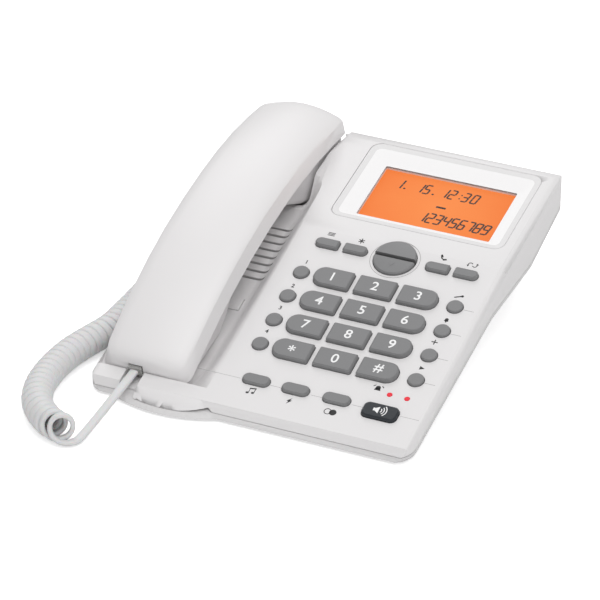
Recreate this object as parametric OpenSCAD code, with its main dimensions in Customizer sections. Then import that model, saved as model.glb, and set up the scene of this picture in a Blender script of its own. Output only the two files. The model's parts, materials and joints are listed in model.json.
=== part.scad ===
// Corded desk telephone with a caller display: a wedge base with a sunk
// handset cradle on its left, a sloping key field and a tilted display.
// Millimetres. Origin on the table, in the middle of the phone's footprint.
// +X is to the user's right, +Y is away from the user, +Z is up.

/* [Base housing] */
// Width of the base
base_w = 177.5; // [170:0.5:190]
// Height of the front top edge above the table
front_h = 8.5; // [8:0.1:10]
// Slope of the key field
face_tilt = 16.7; // [14:0.1:18]
// Slope of the display field
display_tilt = 11.7; // [9:0.1:14]
// Length of the key field along its slope
face_len = 129.2; // [127:0.1:132]
// Length of the display field along its slope
display_len = 76.5; // [74:0.5:80]
// Wall of the upper housing
wall = 2.2; // [1.8:0.1:2.6]
// Wall of the lower housing
floor_wall = 2; // [1.6:0.1:2.4]
// Radius of the long top edges
edge_r = 4; // [2:0.5:5]
// Radius of the rounded rear edge
rear_r = 10; // [8:0.5:11]
// Radius of the corners seen from above
corner_r = 11; // [6:0.5:14]
// Gap of the parting line round the base
parting_gap = 0.4; // [0.2:0.1:0.8]

/* [Cradle] */
// Radius of the rounded nose in front of the cradle
nose_r = 63.5; // [60:0.5:68]
// How far the nose stands in front of the straight edge
nose_out = 7.3; // [5:0.1:9]
// Depth of the cradle under the grip
cradle_depth = 11.5; // [10:0.5:13]
// Width of the cord channel through the nose
cord_channel_w = 10; // [8:0.5:12]
// Number of slots over the loudspeaker
slot_count = 8; // [5:1:9]
// Distance between the loudspeaker slots
slot_pitch = 5.4; // [5:0.1:6]
// Width of a loudspeaker slot
slot_w = 1.6; // [1.2:0.1:2]

/* [Keys] */
// Distance between the columns of number keys
key_pitch_x = 23.8; // [23:0.1:25]
// Distance between the rows of number keys
key_pitch_y = 17.6; // [17:0.1:18.5]
// Width of a number key
key_w = 20.6; // [18:0.1:21.4]
// Height of a number key, along the slope
key_h = 12.4; // [11:0.1:14]
// How far a number key stands out of the face
key_rise = 2.5; // [2:0.1:3]
// Diameter of the round keys
round_d = 8.4; // [7.5:0.1:9.4]
// How far a round key stands out of the face
round_rise = 1.5; // [1:0.1:2]
// Width of the keys on both sides of the navigation key
bar_w = 12.8; // [11:0.1:13.6]
// Height of the keys on both sides of the navigation key
bar_h = 5.8; // [5:0.1:6.6]
// Radius of the navigation key
nav_r = 11.4; // [10.5:0.1:12]
// Width of a function key in the front row
function_w = 14.6; // [13:0.1:16]
// Height of a function key in the front row
function_h = 6.6; // [6:0.1:7.4]
// Width of the loudspeaker key
speaker_key_w = 18.6; // [17:0.1:20]
// Height of the loudspeaker key
speaker_key_h = 9.4; // [8.5:0.1:10.5]
// Travel of a key
key_travel = 1; // [0.8:0.1:1.2]
// Gap all round a key in its hole
key_gap = 0.35; // [0.3:0.05:0.5]

/* [Display] */
// Width of the display lens
lens_w = 97.5; // [92:0.5:100]
// Height of the display lens
lens_h = 63; // [58:0.5:64]
// Thickness of the display lens
lens_t = 1.6; // [1.2:0.1:2]
// Width of the glass's visible window
window_w = 74.6; // [70:0.2:78]
// Height of the glass's visible window
window_h = 41.3; // [38:0.1:44]
// Thickness of the display glass
glass_t = 2.8; // [2:0.1:3.2]

/* [Handset] */
// Length of the handset
handset_len = 207; // [200:0.5:210]
// Width of the handset at its lower edge
handset_w = 51; // [48:0.5:51.5]
// Width of the handset across the creases of its back
handset_top_w = 46; // [42:0.5:48]
// Rise of the arched back
arch_h = 18; // [15:0.5:20]
// Rise of the back's crown across its width
crown_h = 3.2; // [2:0.2:4]
// Height of the handset's side wall
side_h = 9.6; // [8:0.2:11]
// Wall of the handset
handset_wall = 2; // [1.6:0.1:2.4]
// Diameter of the earpiece
earpiece_d = 34; // [30:0.5:38]

/* [Handset cord] */
// Outer diameter of the curly cord
coil_d = 16; // [14:0.5:18]
// Width of the flat cord
cord_w = 4.6; // [4:0.1:5]
// Thickness of the flat cord
cord_t = 2.6; // [2:0.1:3]

/* [Hidden] */
$fn = 48;
eps = 0.01;
key_digits = ["1", "2", "3", "4", "5", "6", "7", "8", "9", "star", "0", "hash"];

// ---- base: side profile ---------------------------------------------------
foot_h = 1.5;
front_draft = 3.7;
base_x = base_w / 2;
base_d = nose_out + front_draft + face_len * cos(face_tilt)
    + display_len * cos(display_tilt) + rear_r * (1 + sin(display_tilt));
front_y = -base_d / 2 + nose_out;
face_origin = [front_y + front_draft, front_h];
bend = face_origin + face_len * [cos(face_tilt), sin(face_tilt)];
rear_top = bend + display_len * [cos(display_tilt), sin(display_tilt)];
rear_c = rear_top + rear_r * [sin(display_tilt), -cos(display_tilt)];
skirt_knee = [5, 26.5];
skirt_back = [60, 28.5];
band_h = 2;
// The plan runs this far past the profile, which shapes the front and the rear
plan_over = 0.5;
function arc(c, r, a0, a1, n) =
    [for (i = [0:n]) let (a = a0 + (a1 - a0) * i / n) c + r * [cos(a), sin(a)]];
function unit(v) = v / norm(v);
// A closed counter-clockwise outline moved inwards by t, with mitred corners
function inset(p, t) =
    [for (i = [0:len(p) - 1])
        let (a = p[(i + len(p) - 1) % len(p)], b = p[i], c = p[(i + 1) % len(p)],
             d1 = unit(b - a), d2 = unit(c - b),
             n1 = [-d1[1], d1[0]], n2 = [-d2[1], d2[0]], m = unit(n1 + n2))
        b + m * t / (m * n1)];
lower_line = [[front_y, foot_h], skirt_knee, skirt_back];
side_profile = concat(lower_line,
    arc(rear_c, rear_r, -90, 90 + display_tilt, 14), [bend, face_origin]);

// A profile in Y and Z, drawn out along X
module across(p, w = 2 * base_w) {
    rotate([90, 0, 90]) translate([0, 0, -w / 2]) linear_extrude(w) polygon(p);
}
// Everything below the lower edge of the base, moved up by h
module below_edge(h) {
    line = [[-base_d, foot_h], [front_y, foot_h], skirt_knee, skirt_back,
        [rear_c[0], rear_c[1] - rear_r], [base_d, rear_c[1] - rear_r]];
    across(concat([[-base_d, -50]], [for (q = line) q + [0, h]], [[base_d, -50]]));
}
module rounded_rect(w, h, r) {
    x = w / 2 - r;
    y = h / 2 - r;
    square([w, h - 2 * r], center = true);
    square([w - 2 * r, h], center = true);
    for (i = [-1, 1], j = [-1, 1]) translate([i * x, j * y]) circle(r);
}
module base_plan(t) {
    len = base_d - nose_out + 2 * plan_over;
    translate([0, front_y - plan_over + len / 2])
        rounded_rect(base_w - 2 * t, len - 2 * t, corner_r - t);
}

// ---- frames ----------------------------------------------------------------
// X stays, Y runs up the key field from its front edge, Z stands out of it
module on_face(x = 0, s = 0, f = 0) {
    translate([0, face_origin[0], face_origin[1]]) rotate([face_tilt, 0, 0])
        translate([x, s, f]) children();
}
// The same on the display field, from the bend
module on_display(x = 0, s = 0, f = 0) {
    translate([0, bend[0], bend[1]]) rotate([display_tilt, 0, 0])
        translate([x, s, f]) children();
}
handset_x = -61.6;
handset_s = 9.2;
handset_f = 5.8;
handset_pitch = 2.6;
// Along the handset, with Z up from the ends of its creases
module on_handset() {
    on_face(handset_x, handset_s, handset_f) rotate([-handset_pitch, 0, 0])
        children();
}

// ---- base: solids ----------------------------------------------------------
// A bar as wide as the base, whose long top edges are rounded in flats. It stands
// past the base's top and sides, which the plan and the profile give.
edge_flats = 4;
module rounded_bar(len, t) {
    r = edge_r - t;
    c = [base_x - t - r, -t - r];
    out = 6;
    da = 90 / edge_flats;
    corners = [for (i = [0:edge_flats - 2]) let (a = (i + 1) * da)
        c + r / cos(da / 2) * [cos(a), sin(a)]];
    first = corners[0] + out / sin(da / 2) * [sin(da / 2), -cos(da / 2)];
    last = corners[edge_flats - 2] + out / sin(da / 2) * [-cos(da / 2), sin(da / 2)];
    right = concat([[first[0], -base_d], first], corners, [last]);
    left = [for (i = [len(right) - 1:-1:0]) [-right[i][0], right[i][1]]];
    translate([0, len, 0]) rotate([90, 0, 0]) linear_extrude(len)
        polygon(concat(right, left));
}
// The straight part of the base, moved inwards by t
module base_block(t) {
    intersection() {
        across(inset(side_profile, t));
        linear_extrude(2 * rear_c[1]) base_plan(t);
        union() {
            on_face(0, -base_d / 4) rounded_bar(face_len + base_d / 4, t);
            on_display() rounded_bar(base_d, t);
        }
    }
}
nose_c = [-44.6, -base_d / 2 + nose_r];
nose_top_z = 7;
step = 0.05;
nose_top_r = nose_r - 6.2;
module nose_block(t) {
    cut = base_d;
    intersection() {
        translate([nose_c[0], nose_c[1], foot_h + t])
            cylinder(h = nose_top_z - foot_h + 4 - t,
                r1 = nose_r - t,
                r2 = nose_r - t - (nose_r - nose_top_r) / (nose_top_z - foot_h)
                    * (nose_top_z - foot_h + 4 - t), $fn = 128);
        translate([-base_x + t + step, -cut, 0]) cube([base_w, cut - 70, cut]);
        on_face(0, -cut / 2, -cut - t - step) translate([-base_w, 0, 0])
            cube([2 * base_w, cut, cut]);
    }
}
module base_solid(t) {
    base_block(t);
    nose_block(t);
}

// ---- cradle ----------------------------------------------------------------
cradle_front = 8.2;
cradle_left = handset_x - 22.9;
cradle_side = handset_x - handset_w / 2 - 0.35;
cradle_rim = -25;
cradle_foot = -38;
// Heights along the handset, in its own frame, at a distance y from its front
half = handset_len / 2;
// The mouth end keeps its place and the ear end its distance from the far end
drawn_len = 205;
grip = [60, 125];
function place(y) = y + (handset_len - drawn_len)
    * max(0, min(1, (y - grip[0]) / (grip[1] - grip[0])));
ear_front = place(145);
arch_r = (half * half + arch_h * arch_h) / (2 * arch_h);
function crease_z(y) = sqrt(arch_r * arch_r - (y - half) * (y - half)) - arch_r + arch_h;
function parting_z(y) = crease_z(y) - side_h;
function to_face(y, z) = handset_f - y * sin(handset_pitch) + z;
function ramp(x, a, b) = let (t = max(0, min(1, (x - a) / (b - a)))) t * t * (3 - 2 * t);
function left_rim_f(s) = let (y = s - handset_s)
    min(-1.5, to_face(y, parting_z(max(0, y))) - 0.7);
// Depth of the cradle's floor below the key field's plane, which rises beside the
// earpiece to the handset's lower edge
ear_s = handset_s + ear_front;
function cradle_f(s) = let (rise = ramp(s, ear_s, ear_s + 18))
    -(5.4 + 5.3 * ramp(s, 8, 34) + (cradle_depth - 10.7) * ramp(s, 48, 70)
        + 2.8 * ramp(s, ear_s - 26, ear_s - 4)) * (1 - rise)
    + (left_rim_f(s) - 1.2) * rise;
function cradle_section(s, t) = let (
    f = cradle_f(s) - t, l = t > 0 ? cradle_side - t + 0.6 : cradle_left,
    rim = left_rim_f(s) - t, n = 8)
    concat([[cradle_side - t, 20], [cradle_side - t, rim], [l, rim], [l + 0.3, f]],
        [for (i = [0:n]) let (k = i / n)
            [cradle_foot + t + (cradle_rim - cradle_foot) * k,
             f + (-f - t + step) * (1 - cos(180 * k)) / 2]],
        [[cradle_rim + t + 0.4, 20]]);
cradle_stations = [cradle_front, 20, 34, 48, 58, 70, 100,
    for (d = [-26, -15, -4, 0, 5, 9, 13, 18, 32, 46, 70]) ear_s + d];
// A closed skin over equal rings of points
module loft(rings) {
    n = len(rings[0]);
    m = len(rings);
    points = [for (r = rings) for (p = r) p];
    sides = [for (i = [0:m - 2], j = [0:n - 1]) let (k = (j + 1) % n)
        for (f = [[i * n + j, i * n + k, (i + 1) * n + k],
                  [i * n + j, (i + 1) * n + k, (i + 1) * n + j]]) f];
    ends = [[for (j = [n - 1:-1:0]) j], [for (j = [0:n - 1]) (m - 1) * n + j]];
    polyhedron(points, concat(sides, ends));
}
module cradle_cut(t) {
    on_face() loft([for (s = cradle_stations)
        let (s2 = s == cradle_front ? s - t : s)
        [for (p = cradle_section(s, t)) [p[0], s2, p[1]]]]);
}
ear_back = handset_len + 2;
ear_floor = -20.4;
pocket_hw = 25.2;
// The round-cornered pocket under the earpiece
module ear_pocket(t) {
    x = pocket_hw + t;
    on_handset() translate([0, 0, ear_floor - t]) linear_extrude(26 + t) hull() {
        for (i = [-1, 1]) {
            translate([i * (x - 5), ear_front + 5 - t]) circle(5);
            translate([i * (x - 9), ear_back - 9 + t]) circle(9);
        }
    }
}
channel_x = -66;
channel_depth = 3.6;
module cord_channel(t) {
    on_face(channel_x - cord_channel_w / 2 - t, -30, -channel_depth - t)
        cube([cord_channel_w + 2 * t, 30 + cradle_front + 1, 20]);
}

// ---- keys ------------------------------------------------------------------
keypad_x = 29.4;
key_row_s = 79.2;
flange = 0.8;
flange_t = 0.8;
flange_gap = 0.2;
bevel = 0.7;
// Each key's own solid stands on the face with its origin in its middle
module outline(w, h, rl, rr) {
    x = w / 2;
    y = h / 2;
    translate([-x + rl, -y]) square([w - rl - rr, h]);
    if (rl < y) translate([-x, -y + rl]) square([rl + eps, h - 2 * rl]);
    if (rr < y) translate([x - rr - eps, -y + rr]) square([rr + eps, h - 2 * rr]);
    for (j = [-1, 1]) {
        translate([-x + rl, j * (y - rl)]) circle(rl);
        translate([x - rr, j * (y - rr)]) circle(rr);
    }
}
module key_solid(w, h, rl, rr, rise) {
    depth = wall + flange_gap + flange_t;
    translate([0, 0, -depth]) linear_extrude(depth + rise - bevel)
        outline(w, h, rl, rr);
    translate([0, 0, rise - bevel])
        linear_extrude(bevel, slices = 1,
            scale = [(w - 2 * bevel) / w, (h - 2 * bevel) / h])
                outline(w, h, rl, rr, $fn = 24);
    translate([0, 0, -depth]) linear_extrude(flange_t)
        outline(w + 2 * flange, h + 2 * flange, rl + flange, rr + flange);
}
module key_hole(w, h, rl, rr) {
    g = key_gap;
    translate([0, 0, -wall - 1]) linear_extrude(wall + 2)
        outline(w + 2 * g, h + 2 * g, rl + g, rr + g);
}
square_r = 0.8;
end_r = key_h / 2 - 0.6;
number_ends = [[end_r, square_r], [square_r, square_r], [square_r, end_r]];
number_at = [for (i = [0:11])
    [keypad_x + (i % 3 - 1) * key_pitch_x, key_row_s + (1 - floor(i / 3)) * key_pitch_y]];
module number_key(i) {
    e = number_ends[i % 3];
    color("dimgray") on_face(number_at[i][0], number_at[i][1])
        key_solid(key_w, key_h, e[0], e[1], key_rise);
}
memory_x = keypad_x - 41.7;
side_x = keypad_x + 43.8;
function round_at(i, x) = [x, key_row_s + (1 - i) * key_pitch_y];
module round_key(x, i) {
    p = round_at(i, x);
    depth = wall + flange_gap + flange_t;
    b = 0.5;
    color("dimgray") on_face(p[0], p[1]) {
        translate([0, 0, -depth]) cylinder(h = depth + round_rise - b, d = round_d);
        translate([0, 0, round_rise - b])
            cylinder(h = b, d1 = round_d, d2 = round_d - 2 * b);
        translate([0, 0, -depth]) cylinder(h = flange_t, d = round_d + 2 * flange);
    }
}
bar_s = key_row_s + 40.5;
bar_rise = 2.3;
bar_at = [[keypad_x - 36.6, bar_s], [keypad_x - 20.7, bar_s],
    [keypad_x + 25, bar_s], [keypad_x + 40.9, bar_s]];
bar_ends = [[bar_h / 2 - 0.2, square_r], [square_r, bar_h / 2 - 0.2]];
module bar_key(i) {
    e = bar_ends[i % 2];
    color("dimgray") on_face(bar_at[i][0], bar_at[i][1])
        key_solid(bar_w, bar_h, e[0], e[1], bar_rise);
}
nav_x = keypad_x + 1.4;
nav_split = 1.8;
// One half of the round navigation key; side is 1 for the upper half
module nav_half(side, r, gap, z0, h) {
    translate([0, 0, z0]) intersection() {
        cylinder(h = h, r = r);
        translate([-2 * r, side > 0 ? gap / 2 : -2 * r - gap / 2, -1])
            cube([4 * r, 2 * r, h + 2]);
    }
}
module nav_key(side) {
    depth = wall + flange_gap + flange_t;
    rise = side > 0 ? 2.4 : 1.8;
    b = 0.6;
    color("dimgray") on_face(nav_x, bar_s) {
        nav_half(side, nav_r, nav_split, -depth, depth + rise - b);
        intersection() {
            translate([0, 0, rise - b - eps])
                cylinder(h = b + eps, r1 = nav_r, r2 = nav_r - b);
            translate([-2 * nav_r, side > 0 ? nav_split / 2 : -2 * nav_r - nav_split / 2,
                0]) cube([4 * nav_r, 2 * nav_r, 10]);
        }
        // The flange ends where the housing bends to the display field
        intersection() {
            nav_half(side, nav_r + flange, nav_split, -depth, flange_t);
            translate([-2 * nav_r, -2 * nav_r, -depth - 1])
                cube([4 * nav_r, 2 * nav_r + face_len - bar_s, flange_t + 2]);
        }
    }
}
front_row_s = key_row_s - 59;
function_rise = 1.8;
function_x = [keypad_x - 33.2, keypad_x - 11.6, keypad_x + 10.8];
module function_key(i) {
    r = function_h / 2 - 0.2;
    color("dimgray") on_face(function_x[i], front_row_s)
        key_solid(function_w, function_h, r, r, function_rise);
}
speaker_key_at = [keypad_x + 35.1, front_row_s - 1.8];
speaker_key_r = 3;
module speaker_key() {
    color([0.14, 0.16, 0.18]) on_face(speaker_key_at[0], speaker_key_at[1])
        key_solid(speaker_key_w, speaker_key_h, speaker_key_r, speaker_key_r, 2);
}
led_at = [[keypad_x + 34.8, key_row_s - 48], [keypad_x + 44.2, key_row_s - 48]];
led_d = 2.8;
module key_holes() {
    for (i = [0:11]) {
        e = number_ends[i % 3];
        on_face(number_at[i][0], number_at[i][1]) key_hole(key_w, key_h, e[0], e[1]);
    }
    for (i = [0:3], x = [memory_x, side_x]) {
        p = round_at(i, x);
        on_face(p[0], p[1], -wall - 1) cylinder(h = wall + 2, d = round_d + 2 * key_gap);
    }
    for (i = [0:3]) {
        e = bar_ends[i % 2];
        on_face(bar_at[i][0], bar_at[i][1]) key_hole(bar_w, bar_h, e[0], e[1]);
    }
    on_face(nav_x, bar_s, -wall - 1) cylinder(h = wall + 2, r = nav_r + key_gap);
    r = function_h / 2 - 0.2;
    for (x = function_x) on_face(x, front_row_s) key_hole(function_w, function_h, r, r);
    on_face(speaker_key_at[0], speaker_key_at[1])
        key_hole(speaker_key_w, speaker_key_h, speaker_key_r, speaker_key_r);
    for (p = led_at) on_face(p[0], p[1], -wall - 1) cylinder(h = wall + 2, d = led_d + 0.2);
}

// ---- display ---------------------------------------------------------------
lens_x = keypad_x + 2.55;
lens_s = 44.7;
window_x = keypad_x + 4.9;
window_s = 39.05;
lens_r = 6;
module lens_outline(g) {
    rounded_rect(lens_w + 2 * g, lens_h + 2 * g, lens_r + g);
}
module display_lens() {
    color("whitesmoke") on_display(lens_x, lens_s, -lens_t) linear_extrude(lens_t)
        lens_outline(0);
}
glass_margin = 3;
ledge_t = 1.2;
glass_top = -lens_t - ledge_t;
module display_glass() {
    color("darkorange") on_display(window_x, window_s, glass_top - glass_t)
        linear_extrude(glass_t)
            square([window_w + 2 * glass_margin, window_h + 2 * glass_margin], center = true);
}
backlight_t = 4;
module display_backlight() {
    color("white") on_display(window_x, window_s, glass_top - glass_t - backlight_t)
        linear_extrude(backlight_t)
            square([window_w + 2 * glass_margin + 4, window_h + 2 * glass_margin],
                center = true);
}

// ---- upper housing ---------------------------------------------------------
board_f = -7;
board_t = 1.6;
board_x = [keypad_x - 49, keypad_x + 46];
board_s = [14, 126];
post_at = [for (x = [keypad_x - 41.7, keypad_x + 42], s = [52.6, 105.8]) [x, s]];
post_d = 4.4;
module board_posts() {
    for (p = post_at) on_face(p[0], p[1], board_f) difference() {
        cylinder(h = -board_f - 1, d = post_d);
        translate([0, 0, -1]) cylinder(h = 5, d = 1.8);
    }
}
tab_s = 76;
tab_size = [7, 8];
module tab_block(g, h) {
    on_face(-42.5, tab_s, cradle_f(tab_s)) translate([0, 0, h / 2 - wall])
        cube([tab_size[0] + 2 * g, tab_size[1] + 2 * g, h], center = true);
}
switch_board_z = ear_floor - wall - 9;
module switch_posts() {
    for (i = [-1, 1]) on_handset() translate([11 * i, plunger_y, switch_board_z + 1.6])
        cylinder(h = 9 - 1.6 + 0.5, d = 4);
}
plunger_y = place(158);
plunger_d = 6;
module plunger_axis(z) {
    on_handset() translate([0, plunger_y, z]) children();
}
screw_at = [[-15, -92], [76, -92], [-15, 92], [53.5, 92]];
boss_d = 7;
screw_d = 2.9;
screw_len = 12;
module housing_bosses() {
    for (i = [0:3]) difference() {
        translate([screw_at[i][0], screw_at[i][1], foot_h + floor_wall + 3]) difference() {
            cylinder(h = 100, d = boss_d);
            translate([0, 0, -1]) cylinder(h = i < 2 ? 3 : screw_len - 3, d = screw_d);
        }
        if (i < 2) on_face(-base_w, -base_d, -wall / 2) cube([2 * base_w, 2 * base_d, 200]);
        else on_display(-base_w, -base_d, -wall / 2) cube([2 * base_w, 2 * base_d, 200]);
    }
}
module upper_housing() {
    color("whitesmoke") difference() {
        union() {
            difference() {
                base_solid(0);
                difference() {
                    union() {
                        base_solid(wall);
                        below_edge(band_h + parting_gap);
                    }
                    cradle_cut(wall);
                    ear_pocket(wall);
                    cord_channel(wall);
                }
                below_edge(band_h + parting_gap);
            }
            intersection() {
                cradle_cut(wall);
                tub_solid(floor_wall + shell_gap, band_h + parting_gap + 1);
            }
            board_posts();
            housing_bosses();
            switch_posts();
            display_seat();
        }
        cradle_cut(0);
        ear_pocket(0);
        cord_channel(0);
        key_holes();
        loudspeaker_slots();
        tab_block(0.3, 3 * wall);
        plunger_axis(ear_floor - wall - 1)
            cylinder(h = wall + 3, d = plunger_d + 0.8);
        on_display(lens_x, lens_s, -lens_t - 0.1) linear_extrude(10) lens_outline(0.15);
        on_display(window_x, window_s, -wall - 4) linear_extrude(20)
            square([window_w, window_h], center = true);
    }
}
module display_seat() {
    on_display(lens_x, lens_s, glass_top + 0.1) linear_extrude(-glass_top - 1)
        lens_outline(1.5);
}
slot_s0 = 95;
slot_x = [-62, -34];
module loudspeaker_slots() {
    for (i = [0:slot_count - 1]) {
        s = slot_s0 + i * slot_pitch;
        on_face(slot_x[0], s, -cradle_depth - wall - 4)
            cube([slot_x[1] - slot_x[0], slot_w, wall + 8]);
    }
}

// ---- lower housing ---------------------------------------------------------
shell_gap = 0.3;
tub_x = [-88.35, 62];
tub_y = [front_y + 6, 99];
tub_front_x = 83.5;
tub_mid_x = 76;
module tub(t) {
    linear_extrude(2 * rear_c[1]) polygon([[tub_x[0] + t, tub_y[0] + 14 + t],
        [tub_x[0] + 7 + t, tub_y[0] + t],
        [tub_front_x - t, tub_y[0] + t], [tub_mid_x - t, 0], [tub_x[1] - t, 45],
        [tub_x[1] - t, tub_y[1] - t],
        [tub_x[0] + t, tub_y[1] - t]]);
}
module tub_solid(t, top) {
    intersection() {
        tub(t);
        translate([-base_w, -base_d, foot_h + t]) cube([2 * base_w, 2 * base_d, 99]);
        below_edge(top);
    }
}
battery_at = [-20, 45];
battery_w = 62;
battery_l = 34;
battery_depth = 17;
jack_cord_y = 62;
jack_cord_z = 12;
jack_line_x = 20;
jack_line_z = 14;
jack_w = 14;
jack_h = 13;
module lower_housing() {
    color("gainsboro") difference() {
        union() {
            difference() {
                union() {
                    intersection() {
                        base_solid(0);
                        below_edge(band_h);
                    }
                    tub_solid(0, band_h);
                }
                tub_solid(floor_wall, band_h + 1);
            }
            screw_bosses();
            battery_box(floor_wall);
        }
        for (p = screw_at) translate([p[0], p[1], 0]) {
            cylinder(h = 100, d = 3.4);
            cylinder(h = foot_h + 3, d = 6.4);
        }
        battery_box(0);
        translate([tub_x[0] - 1, jack_cord_y - jack_w / 2, jack_cord_z - jack_h / 2])
            cube([floor_wall + 2, jack_w, jack_h]);
        translate([jack_line_x - jack_w / 2, tub_y[1] - floor_wall - 1,
            jack_line_z - jack_h / 2]) cube([jack_w, floor_wall + 2, jack_h]);
    }
}
module screw_bosses() {
    for (p = screw_at) translate([p[0], p[1], foot_h])
        cylinder(h = floor_wall + 3 - 0.3, d = boss_d + 3);
}
module battery_box(t) {
    translate([battery_at[0] - battery_w / 2 - t, battery_at[1] - battery_l / 2 - t,
        foot_h - 1 + t])
        cube([battery_w + 2 * t, battery_l + 2 * t, battery_depth + 1]);
}
door_t = 1.8;
module battery_door() {
    g = 0.3;
    color("gainsboro") translate([battery_at[0] - battery_w / 2 + g,
        battery_at[1] - battery_l / 2 + g, foot_h])
        cube([battery_w - 2 * g, battery_l - 2 * g, door_t]);
}
foot_at = [[-66, -93], [66, -93], [-66, 84], [44, 82]];
foot_d = 12;
module rubber_feet() {
    color("dimgray") for (p = foot_at) translate([p[0], p[1], 0])
        cylinder(h = foot_h, d = foot_d);
}
module housing_screws() {
    color("silver") for (p = screw_at) translate([p[0], p[1], foot_h + 1]) {
        cylinder(h = 2, d = 5.6);
        cylinder(h = p[1] < 0 ? 4.6 : screw_len, d = screw_d - 0.04);
    }
}

// ---- inside the base -------------------------------------------------------
module main_board() {
    color("darkgreen") difference() {
        on_face(board_x[0], board_s[0], board_f - board_t)
            cube([board_x[1] - board_x[0], board_s[1] - board_s[0], board_t]);
        for (p = post_at) on_face(p[0], p[1], board_f - board_t - 1)
            cylinder(h = board_t + 2, d = 2.2);
    }
}
mat_t = 0.8;
mat_x = [keypad_x - 46, keypad_x + 45.8];
module keypad_mat() {
    color("lightgray") difference() {
        on_face(mat_x[0], 16, board_f) cube([mat_x[1] - mat_x[0], 108, mat_t]);
        for (p = post_at) on_face(p[0], p[1], board_f - 1) cylinder(h = 3, d = post_d + 1);
        for (p = led_at) on_face(p[0], p[1], board_f - 1) cylinder(h = 3, d = led_d + 1);
    }
}
speaker_d = 36;
module loudspeaker() {
    color("darkslategray") on_face(-50, slot_s0 + 3.5 * slot_pitch,
        cradle_f(slot_s0 + 20) - wall - 9) {
        translate([0, 0, 6.7]) cylinder(h = 2, d = speaker_d);
        cylinder(h = 7, d = 20);
    }
}
module handsfree_microphone() {
    color("black") on_face(keypad_x + 22, 9, -wall - 2.7) cylinder(h = 2.6, d = 6);
}
module status_leds() {
    color("crimson") for (p = led_at) on_face(p[0], p[1], board_f) {
        cylinder(h = -board_f + 0.3, d = led_d);
    }
}
module hook_tab() {
    color("gainsboro") tab_block(0, wall + 0.6);
}
module hook_plunger() {
    color("gainsboro") plunger_axis(ear_floor - wall - 5)
        cylinder(h = wall + 5 - 0.4, d = plunger_d);
}
module hook_switch_board() {
    color("darkgreen") on_handset()
        translate([-14, plunger_y - 9, switch_board_z]) cube([28, 18, 1.6]);
}
module jack_block(w, h, d) {
    difference() {
        cube([d, w, h], center = true);
        translate([-d / 2 + 4, 0, 0]) cube([9, w - 4, h - 5], center = true);
    }
}
jack_d = 12;
module handset_cord_jack() {
    color("black") translate([tub_x[0] + jack_d / 2, jack_cord_y, jack_cord_z])
        jack_block(jack_w - 0.4, jack_h - 0.4, jack_d);
}
module line_jack() {
    color("black") translate([jack_line_x, tub_y[1] - jack_d / 2, jack_line_z])
        rotate([0, 0, -90]) jack_block(jack_w - 0.4, jack_h - 0.4, jack_d);
}

// ---- handset ---------------------------------------------------------------
function swell(y) = 2 * sin(180 * y / handset_len);
function end_inset(y, r) = let (a = max(0, r - y), b = max(0, y - handset_len + r),
    q = max(a, b)) r - sqrt(max(0, r * r - q * q));
function top_hw(y, t) = (handset_top_w / 2 - 1 + swell(y) / 2)
    + 1.6 * ramp(y, half, handset_len - 20) - end_inset(y, 7) - t;
function crown(y) = crown_h * (1 + 0.6 * ramp(y, half, handset_len));
function low_hw(y, t) = (handset_w / 2 - 1 + swell(y) / 2) - end_inset(y, 6) - t;
back_y = [for (y = [0, 1.5, 4, 8, 20, 40, 60, 80, 102.5, 125, 145, 165, 185, 197, 201,
    203.5, drawn_len]) place(y)];
function back_section(y, t) = let (
    a = low_hw(y, t), b = top_hw(y, t), z0 = parting_z(y) - (t > 0 ? 3 : 0),
    z1 = crease_z(y) - t - 1.2 * end_inset(y, 7) * 0.2, n = 8)
    concat([[-a, z0], [a, z0], [b + 0.5, z1 - 1.2]],
        [for (i = [0:n]) let (x = (b - 0.6) * (1 - 2 * i / n))
            [x, z1 + crown(y) * (1 - pow(2 * i / n - 1, 2))]],
        [[-b - 0.5, z1 - 1.2]]);
// Place of the section at y in a form from y0 to y1 whose ends are moved in by t
function station(y, y0, y1, t) =
    min(max(y, y0 + t + 0.2 * (y - y0)), y1 - t - 0.2 * (y1 - y));
module handset_back_solid(t) {
    loft([for (y = back_y)
        [for (p = back_section(y, t)) [p[0], station(y, 0, handset_len, t), p[1]]]]);
}
handset_screw_y = [place(73.5), place(133)];
jack_x = -4.4;
plug_w = 7;
plug_h = 4.8;
plug_z = -5.2;
module handset_back() {
    color("whitesmoke") on_handset() difference() {
        union() {
            difference() {
                handset_back_solid(0);
                handset_back_solid(handset_wall);
            }
            intersection() {
                for (y = handset_screw_y) translate([0, y, parting_z(y) - 2])
                    cylinder(h = 60, d = 6);
                handset_back_solid(handset_wall / 2);
            }
        }
        for (y = handset_screw_y) translate([0, y, parting_z(y) - 3])
            cylinder(h = 9, d = 2.4);
        translate([jack_x - plug_w / 2 - 0.5, -5, plug_z - plug_h / 2 - 9])
            cube([plug_w + 1, 8, plug_h + 9.5]);
    }
}
front_gap = 0.2;
front_y_list = [for (y = [0.8, 3, 8, 20, 44, 54, 68, 84, 102, 122, 136, 148, 158, 180,
    196, 202.5, 204]) place(y)];
front_bottom = [-10.4, -10.9, -11.6, -13.6, -14.4, -12, -4, -0.5, -0.4, -2, -6.5, -15,
    ear_floor + 0.3, ear_floor + 0.3, ear_floor + 0.3, ear_floor + 2, ear_floor + 5];
front_hw = [18.6, 20.2, 21, 21.4, 21.4, 20.6, 19, 17.5, 17, 17.5, 19.6, 22.4, 23.8, 24,
    22.6, 19.2, 16.6];
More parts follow.
